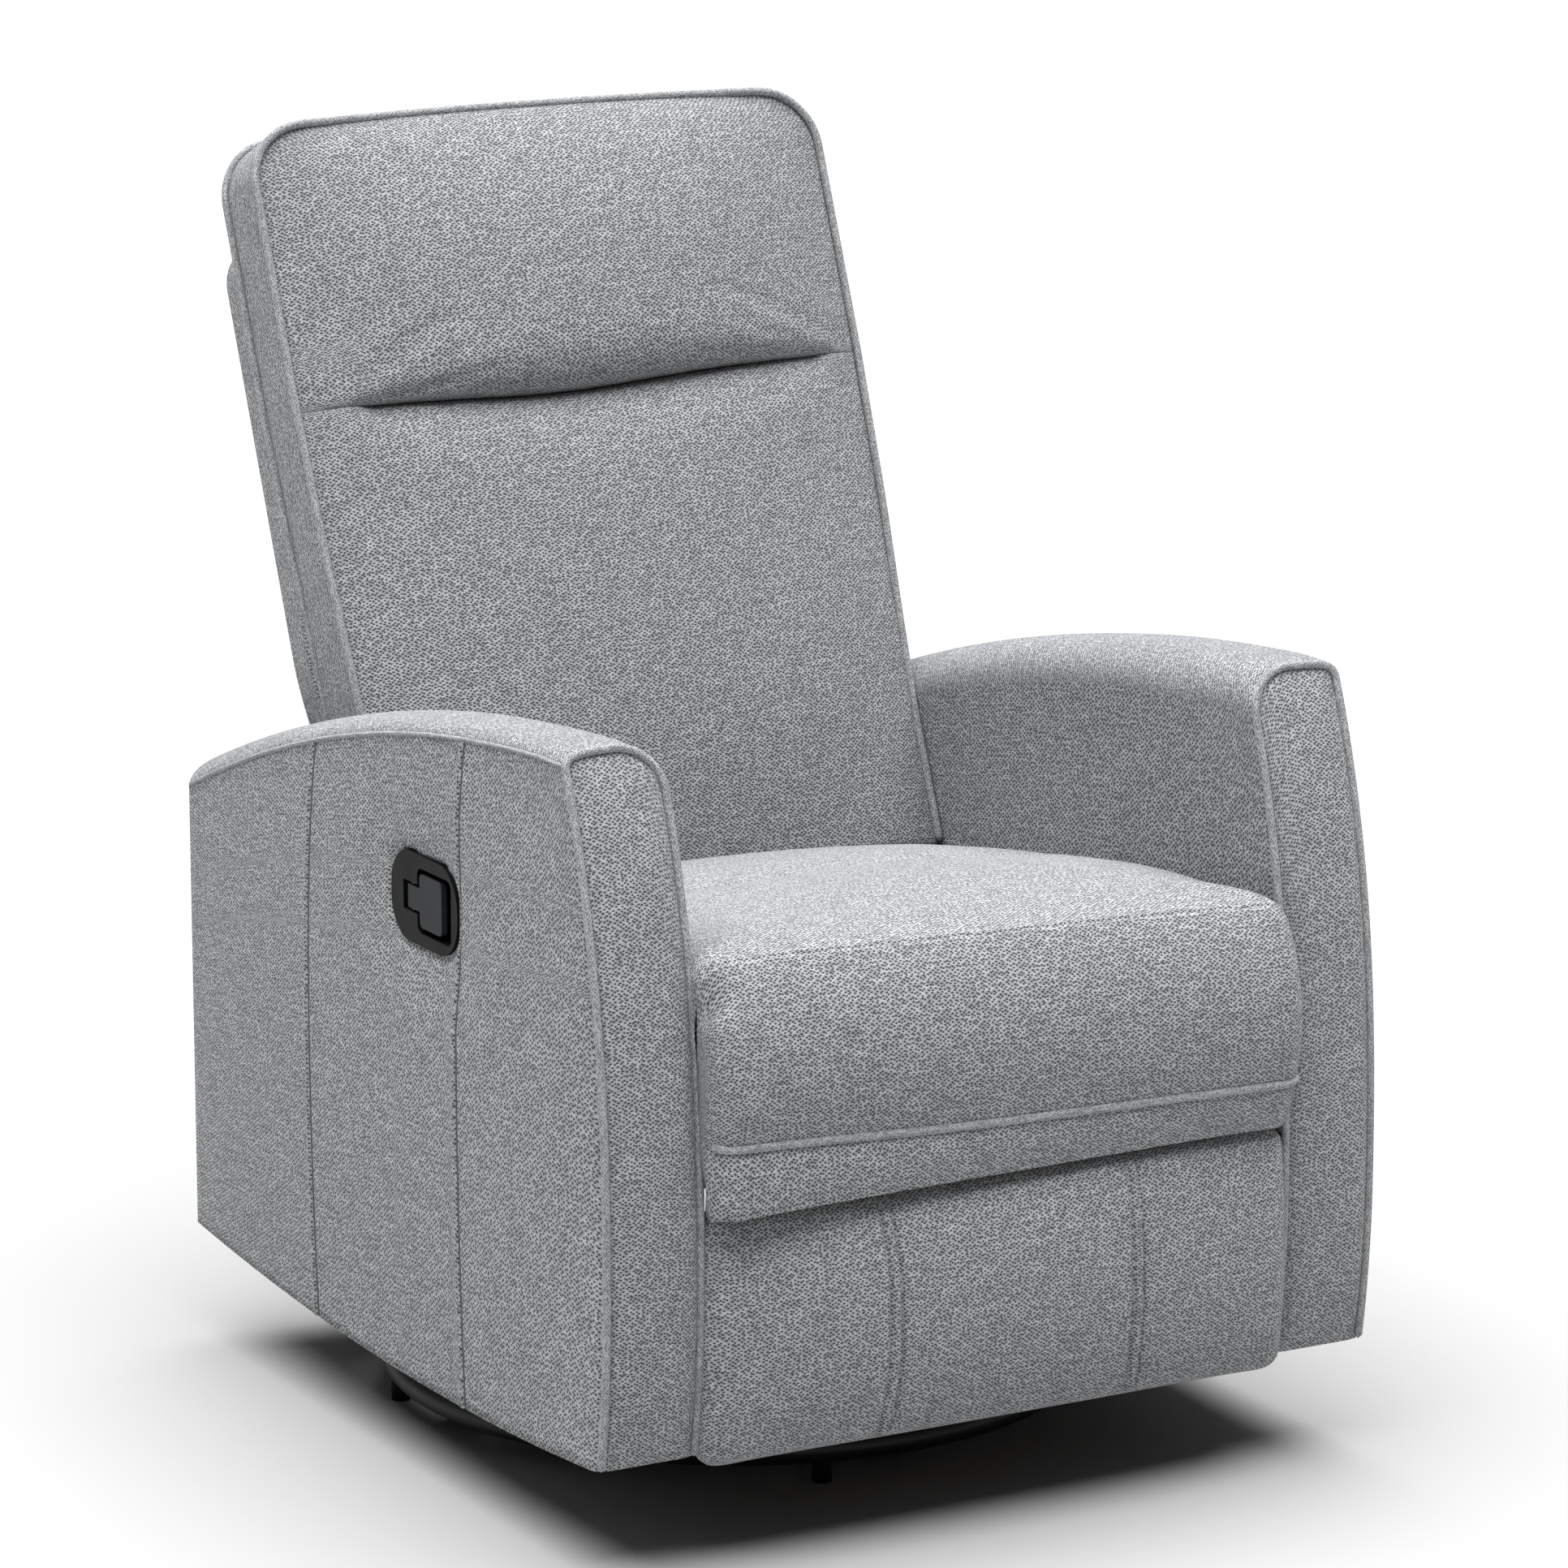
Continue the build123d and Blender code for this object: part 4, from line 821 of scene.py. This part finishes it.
def seat_form(u, v, w):
    """Seat and its front: u across, v from the back over the top and down the front, w inwards.

    The top falls to the back as a parabola and is crowned by 1 - (2u - 1)^2. From fold_share an arc
    bends it down to the front seam, a wider arc runs from there to the piped seam, and the flap hangs
    below. Each end is rounded off inwards, and the left one is tucked in under the seam.
    """
    reach = 2 * u - 1
    over = np.clip((v - fold_share) / (seam_share - fold_share), 0, 1)
    down = np.clip((v - seam_share) / (piped_share - seam_share), 0, 1)
    flap = np.clip((v - piped_share) / (1 - piped_share), 0, 1)
    y_top = seat_back + np.clip(v / fold_share, 0, 1) * (fold_start - seat_back)
    run = y_top - seat_top_start
    nearness = smooth((y_top - fold_start) / front_fade)
    z_top = seat_top_height - seat_top_slope * run - seat_top_bow * run ** 2
    crown = seat_crown * (front_crown_share + (1 - front_crown_share) * nearness) * (1 - reach ** 2)
    fold = fold_turn[0] + over * (fold_turn[1] - fold_turn[0])
    front = front_turn[0] + down * (front_turn[1] - front_turn[0])
    y = y_top - fold_radius * (np.sin(fold) - np.sin(fold_turn[0]))
    y = y - front_radius * (np.sin(front) - np.sin(front_turn[0]))
    lift = seat_left_lift * smooth(-reach) - seat_tilt * reach
    z = z_top + crown * (1 - down) + lift * (1 - nearness)
    z = z - fold_radius * (np.cos(fold_turn[0]) - np.cos(fold))
    z = z - front_radius * (np.cos(front_turn[0]) - np.cos(front))
    hem_y = hem_place[0] + hem_skew * reach
    y = y + flap * (hem_y - y) - flap_belly * np.sin(np.pi * flap)
    z = z + flap * (hem_place[1] - z) - flap_corner_drop * flap * np.abs(reach) ** 6
    facing = front_facing * np.clip((v - fold_share) / (piped_share - fold_share), 0, 1)
    half = seat_half_width + (front_half_width - seat_half_width) * smooth(over)
    edge = (np.abs(reach) * half - half + seat_end_round) / seat_end_round
    past_seam = (v - seam_share) * cloth_length
    sunk = seat_end_round * quarter_round(edge) + groove(past_seam, *seam_groove)
    sunk = sunk + groove((v - piped_share) * cloth_length, *piped_groove)
    sunk = sunk + groove(y_top - cross_seam - cross_skew * reach, *cross_groove)
    tuck = groove(past_seam - tuck_below_seam, tuck_depth, tuck_height)
    sunk = sunk + groove(reach + 1, tuck, tuck_reach)
    y_outer = y + np.sin(facing) * sunk
    z_outer = z - np.cos(facing) * sunk
    y_inner = y_top + over * (rail_face - y_top)
    y_inner = y_inner + flap * (hem_y + flap_thickness - y_inner)
    z_inner = deck(y_top) - deck_edge_drop * over
    z_inner = z_inner + down * (z - z_inner)
    points = [half * reach, y_outer + w * (y_inner - y_outer), z_outer + w * (z_inner - z_outer)]
    return np.stack(np.broadcast_arrays(*points), axis=-1)


edge_steps = np.concatenate([1 - np.cos(np.linspace(0, np.pi / 2, 9)), [1.0]]) * 0.042
side_steps = np.unique(np.concatenate([edge_steps, np.linspace(0.042, 0.958, 72), 1 - edge_steps]))
cross_share = fold_share * (seat_back - cross_seam) / (seat_back - fold_start)
seat_steps = refined(np.linspace(0, 1, 110), seam_share, cross_share, reach=0.008, count=15)
seat_steps = refined(seat_steps, piped_share, reach=0.006, count=9)
seat = cover(
    "seat_cover",
    seat_form,
    (side_steps, seat_steps, np.linspace(0, 1, 6)),
    "chair",
    ["seat_cushion", "seat_front_roll"],
    free=lambda u, v, w: (w < 0.01) & (v > 0.01) & (v < piped_share - 0.004) & (np.abs(2 * u - 1) < 0.97)
    & (np.abs(v - seam_share) > 0.004) & (np.abs(v - cross_share) > 0.004),
    threads=("v", "u", "u"),
)
swell(seat, 4.0, 0.008)
run = np.linspace(0.004, 0.996, 300)
seam_path = seat_form(run, 0 * run + piped_share, 0 * run)
seam_path[:, 1] -= front_piping_proud
piping("seat_front_piping", seam_path, (0.0, -1.0, 0.0), front_piping_radius, "chair")


# Back: a lumbar and a head cushion of fibre fill, sewn edge to edge in one cover. Piping runs
# round the front and the rear of the boxing, and the head cushion rolls over the seam between them.
back_tilt = np.radians(22.0)
back_base = (0.133, 0.392)
back_depth = 0.062
back_low_half_width = 0.2585
back_flare = 0.010
back_piping_limit = 0.2600
arm_zone = (0.10, 0.34)
lumbar_start = 0.016
lumbar_foot = -0.018
foot_recess = 0.036
crease_height = 0.452
back_top = 0.690
head_corner = 0.052
lumbar_crown = 0.042
lumbar_foot_crown = 0.45
lumbar_full = 0.35
lumbar_thinning = 0.12
lumbar_thin_start = 0.4
lumbar_turn = 0.12
tail_fade = 0.3
head_crown = 0.044
head_thinning = 0.80
head_thin_start = 0.35
head_turn = 0.16
head_top_turn = 0.10
seam_sunk = 0.003
flat_ends = (0.75, 0.82)
flat_end_length = 0.09
head_hang = 0.013
hang_share = 0.22
seam_fall = 0.0045
seam_sag = 0.008
sag_middle = -0.1
sag_width = 0.45
end_level = 0.62
boxing_puff = 0.0012
boxing_puff_start = 0.2
boxing_puff_fade = 0.1
head_rise = 0.003
piping_spread = 1.005
piping_lift = 0.001


def on_back(x, height, rearward):
    """Points of the tilted back from x, a height up it and a depth behind its front plane."""
    y = back_base[0] + height * np.sin(back_tilt) + rearward * np.cos(back_tilt)
    z = back_base[1] + height * np.cos(back_tilt) - rearward * np.sin(back_tilt)
    return np.stack(np.broadcast_arrays(x, y, z), axis=-1)


def back_half_width(height):
    """Half width of the back: it widens by flare from the base to the seam between the cushions,
    and closes in a quarter circle at the top corners."""
    plain = back_low_half_width + back_flare * np.clip(height / crease_height, 0, 1)
    return plain - head_corner * quarter_round((height - back_top + head_corner) / head_corner)


def seam_height(reach):
    """Height of the seam between the cushions, lower on the left and sagging in the middle."""
    return crease_height - seam_fall * (1 - reach) - groove(reach - sag_middle, seam_sag, sag_width)


def plump(reach):
    """Crown from side to side: (1 - |reach|^3)^0.85."""
    return np.maximum(1 - np.abs(reach) ** 3, 0) ** 0.85


def flush(reach):
    """Share by which the seam lies level with the cushions: all of it at its two ends."""
    start = np.where(reach < 0, flat_ends[0], flat_ends[1])
    return smooth((np.abs(reach) - start) / flat_end_length)


def sunk_seam(reach):
    """How far forward the seam lies: sunk in the middle, level with the cushions at its ends."""
    return seam_sunk + flush(reach) * (end_level * lumbar_crown * plump(reach) - seam_sunk)


def side_puff(height, reach, w):
    """Swelling of the boxing: puff 4 w (1 - w) on both sides, and none between the arms."""
    above_arms = smooth((height - boxing_puff_start) / boxing_puff_fade)
    outward = np.sign(reach) * (np.abs(reach) > 0.999)
    return boxing_puff * 4 * w * (1 - w) * above_arms * outward


def lumbar_form(u, v, w):
    """Lumbar cushion: u across, v up, w to the rear. Its crown rises from a share of itself at
    lumbar_start, and near the seam it turns in along a quarter ellipse. Below lumbar_start a tail runs
    back under the frame, to close the gap behind the seat when the back reclines."""
    reach = 2 * u - 1
    height = lumbar_foot + v * (seam_height(reach) - lumbar_foot)
    up = np.clip((height - lumbar_start) / (seam_height(reach) - lumbar_start), 0, 1)
    tail = np.clip((lumbar_start - height) / (lumbar_start - lumbar_foot), 0, 1)
    swelling = np.sin(np.pi / 2 * np.clip(up / lumbar_full, 0, 1))
    thinning = lumbar_thinning * smooth((up - lumbar_thin_start) / (1 - lumbar_thin_start))
    rise = lumbar_foot_crown + (1 - lumbar_foot_crown) * swelling - thinning
    face = lumbar_crown * plump(reach) * rise
    turn = 1 - quarter_round((up - 1 + lumbar_turn) / lumbar_turn)
    forward = sunk_seam(reach) + (face - sunk_seam(reach)) * turn
    forward = forward * (1 - smooth(tail / tail_fade)) - foot_recess * tail
    x = reach * back_half_width(height) + side_puff(height, reach, w)
    return on_back(x, height, back_depth * w - forward * (1 - w))


def head_form(u, v, w):
    """Head cushion: u across, v up, w to the rear. From the seam it rolls out and down over the
    lumbar cushion along a quarter ellipse, and thins towards the top."""
    reach = 2 * u - 1
    start = seam_height(reach)
    hang = head_hang * (1 - flush(reach)) * np.sin(np.pi * np.clip(v / hang_share, 0, 1)) * (1 - w)
    height = start + v * (back_top - start) - hang
    thin = np.clip((v - head_thin_start) / (1 - head_thin_start), 0, 1)
    top_turn = 1 - quarter_round((v - 1 + head_top_turn) / head_top_turn)
    face = head_crown * plump(reach) * (1 - head_thinning * thin ** 2.2) * top_turn
    turn = 1 - quarter_round(1 - v / head_turn)
    forward = sunk_seam(reach) + (face - sunk_seam(reach)) * turn
    x = reach * back_half_width(height) + side_puff(height, reach, w)
    return on_back(x, height + head_rise * (1 - reach ** 2) * v, back_depth * w - forward * (1 - w))


rise_share = np.sin(np.linspace(0, np.pi / 2, 20))
lumbar_up = np.unique(np.concatenate([np.linspace(0, 0.86, 60), 0.86 + 0.14 * rise_share]))
lumbar = cover(
    "lumbar_cover",
    lumbar_form,
    (side_steps, lumbar_up, np.linspace(0, 1, 7)),
    "back",
    ["lumbar_cushion"],
    free=lambda u, v, w: (w < 0.01) & (np.abs(2 * u - 1) < 0.975) & (v > 0.09) & (v < 0.985),
    threads=("v", "u", "u"),
)
swell(lumbar, 4.0, 0.010)
head_up = np.unique(
    np.concatenate([0.22 * (1 - rise_share), np.linspace(0.22, 0.78, 36), 0.78 + 0.22 * rise_share])
)
head = cover(
    "head_cover",
    head_form,
    (side_steps, head_up, np.linspace(0, 1, 7)),
    "back",
    ["head_cushion"],
    free=lambda u, v, w: (w < 0.01) & (np.abs(2 * u - 1) < 0.975) & (v > 0.03) & (v < 0.96),
    threads=("v", "u", "u"),
)
swell(head, 4.0, 0.010)
rise = np.linspace(0, 1, 200)
tail_share = (lumbar_start - lumbar_foot) / (crease_height - lumbar_foot)
climb = tail_share + (1 - tail_share) * rise
for name, layer, out in (("front", 0.0, -0.003), ("rear", 1.0, 0.001)):
    level = 0 * rise + layer
    legs = [
        lumbar_form(0 * rise, climb, level),
        head_form(0 * rise, rise, level),
        head_form(rise, 0 * rise + 1, level),
        head_form(0 * rise + 1, rise[::-1], level),
        lumbar_form(0 * rise + 1, climb[::-1], level),
    ]
    path = np.concatenate(legs) * (piping_spread, 1.0, 1.0) + (0.0, out, piping_lift)
    height = (path[:, 2] - back_base[1]) / np.cos(back_tilt)
    beyond = np.maximum(np.abs(path[:, 0]) - back_piping_limit, 0)
    between_arms = 1 - smooth((height - arm_zone[0]) / (arm_zone[1] - arm_zone[0]))
    path[:, 0] -= np.sign(path[:, 0]) * beyond * between_arms
    facing = (0.0, -np.cos(back_tilt), np.sin(back_tilt))
    piping(f"back_{name}_piping", path, facing, piping_radius, "back")


# Outer back: a padded panel on the back frame, with its edges turned in and round top corners.
outer_half_width = 0.2610
outer_flare = 0.0080
outer_flare_start = 0.15
outer_flare_fade = 0.1
outer_start = 0.012
outer_top = 0.613
outer_corner = 0.040
outer_front = 0.063
outer_rear = 0.0970
outer_bow = 0.008
outer_edge = 0.003


def outer_form(u, v, w):
    """Outer back: u across, v up, w to the rear, with a rear face bowed by bow (1 - x^4)."""
    reach = 2 * u - 1
    height = outer_start + v * (outer_top - outer_start)
    half = outer_half_width + outer_flare * smooth((height - outer_flare_start) / outer_flare_fade)
    half = half - outer_corner * quarter_round((height - outer_top + outer_corner) / outer_corner)
    bow = outer_bow * (1 - np.abs(reach) ** 4) * (1 - np.abs(2 * v - 1) ** 6) * (w > 0.99)
    inset = outer_edge * quarter_round((w - 0.8) / 0.2)
    depth = outer_front + (outer_rear - outer_front) * w
    return on_back(reach * (half - inset), height - inset * smooth((v - 0.9) / 0.1), depth + bow)


outer_up = np.unique(np.concatenate([np.linspace(0, 0.92, 60), 0.92 + 0.08 * rise_share]))
cover(
    "outer_back_cover",
    outer_form,
    (np.linspace(0, 1, 70), outer_up, np.append(np.linspace(0, 0.8, 5), 0.8 + 0.2 * rise_share[1::3])),
    "back",
    ["outer_back"],
    threads=("v", "u", "u"),
)


# Rear panel: chenille stretched over a board between the arms, closing the chair under the back.
panel_low, panel_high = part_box("rear_panel")
rear_puff = 0.005
rear_edge = 0.006


def rear_form(u, v, w):
    """Rear panel: u across, v up, w to the rear, swollen by puff (1 - x^4) (1 - z^4)."""
    reach = 2 * u - 1
    rise = 2 * v - 1
    size = np.array(panel_high - panel_low)
    puff = rear_puff * (1 - reach ** 4) * (1 - rise ** 4) * np.where(w > 0.5, 1, -1)
    edge = rear_edge * (np.abs(2 * w - 1) ** 4) * np.abs(rise) ** 12
    x = panel_low[0] + size[0] * u
    y = panel_low[1] + size[1] * w + puff
    z = panel_low[2] + size[2] * v - np.sign(rise) * edge
    return np.stack([x, y, z], axis=-1)


cover(
    "rear_panel_cover",
    rear_form,
    (np.linspace(0, 1, 50), np.linspace(0, 1, 40), np.linspace(0, 1, 9)),
    "chair",
    ["rear_panel"],
    threads=("v", "u", "u"),
)


# Footrest: a board padded with foam, its cover sewn in three panels with raised seams and pulled
# round the edge of the board. Its top edge tucks under the flap of the seat front, and its lower
# corners droop a little.
rest_half_width = 0.2650
rest_bottom = 0.087
rest_top = 0.2885
rest_board = -0.3922
rest_rear = -0.3806
rest_wrap = 0.005
rest_stand = 0.0440
rest_bow_up = 0.5
rest_bow_across = 0.42
rest_lip_turn = 0.55
rest_end_turn = 0.70
rest_corner = 0.016
rest_lip = 0.014
rest_end = 0.018
rest_droop = 0.004
rest_seam = 0.113
rest_seam_bow = -0.003
rest_seam_share = 0.28
rest_seam_fade = 0.1
rest_rib = (0.0020, 0.0030)
rest_groove = (0.0028, 0.0016)
rest_groove_offset = 0.0048


def raised(distance):
    """Felled seam: a rib, proud e^-(distance / half width)^4, between two stitched grooves."""
    rib = rest_rib[0] * np.exp(-((distance / rest_rib[1]) ** 4))
    return rib - groove(np.abs(distance) - rest_groove_offset, *rest_groove)


def rest_form(u, v, w):
    """Footrest: u across, v up, w to the rear. u runs evenly from each end to its seam, so that the
    grid follows the seams. The front stands out by stand (1 - bow |z|^2.4) (1 - bow |x|^3), with
    round ends, lips and corners. Behind the board's front the sides draw in by rest_wrap."""
    half_height = (rest_top - rest_bottom) / 2
    rise = 2 * v - 1
    off_middle = 2 * u - 1
    seam = rest_seam + rest_seam_bow * (1 - rise ** 2)
    from_edge = (1 - np.abs(rise)) * half_height
    corner = rest_corner * quarter_round(1 - from_edge / rest_corner)
    half = rest_half_width - corner
    inner = np.abs(off_middle) / (1 - 2 * rest_seam_share) * seam
    outer = seam + (np.abs(off_middle) - 1 + 2 * rest_seam_share) / (2 * rest_seam_share) * (half - seam)
    across = np.where(np.abs(off_middle) < 1 - 2 * rest_seam_share, inner, outer)
    reach = np.clip(across / rest_half_width, 0, 1)
    lip = 1 - rest_lip_turn * quarter_round(1 - from_edge / rest_lip)
    end = 1 - rest_end_turn * quarter_round((across - half + rest_end) / rest_end)
    bow = (1 - rest_bow_up * np.abs(rise) ** 2.4) * (1 - rest_bow_across * reach ** 3)
    stand = rest_stand * bow * lip * end
    ribs = raised(across - seam) * smooth((1 - np.abs(rise)) / rest_seam_fade)
    face = rest_board - stand - ribs
    y = face + w * (rest_rear - face)
    z = rest_bottom + 2 * half_height * v - rest_droop * reach ** 8 * (1 - v) ** 2
    wrap = rest_wrap * smooth((w - 0.5) / 0.5)
    x = np.sign(off_middle) * (across - wrap * reach)
    return np.stack([x, y, z - wrap * rise], axis=-1)


rest_across = refined(side_steps, rest_seam_share, 1 - rest_seam_share, reach=0.022, count=27)
lip_share = 0.10 * (1 - rise_share)
rest_up = np.unique(np.concatenate([lip_share, np.linspace(0.10, 0.90, 40), 1 - lip_share]))
rest = cover(
    "footrest_cover",
    rest_form,
    (rest_across, rest_up, np.linspace(0, 1, 9)),
    "footrest",
    ["footrest_cushion"],
    free=lambda u, v, w: (w < 0.01) & (np.abs(2 * v - 1) < 0.9) & (np.abs(2 * u - 1) < 0.97)
    & (np.abs(np.abs(u - 0.5) - 0.5 + rest_seam_share) > 0.02),
    threads=("v", "u", "u"),
)
swell(rest, 4.0, 0.005)
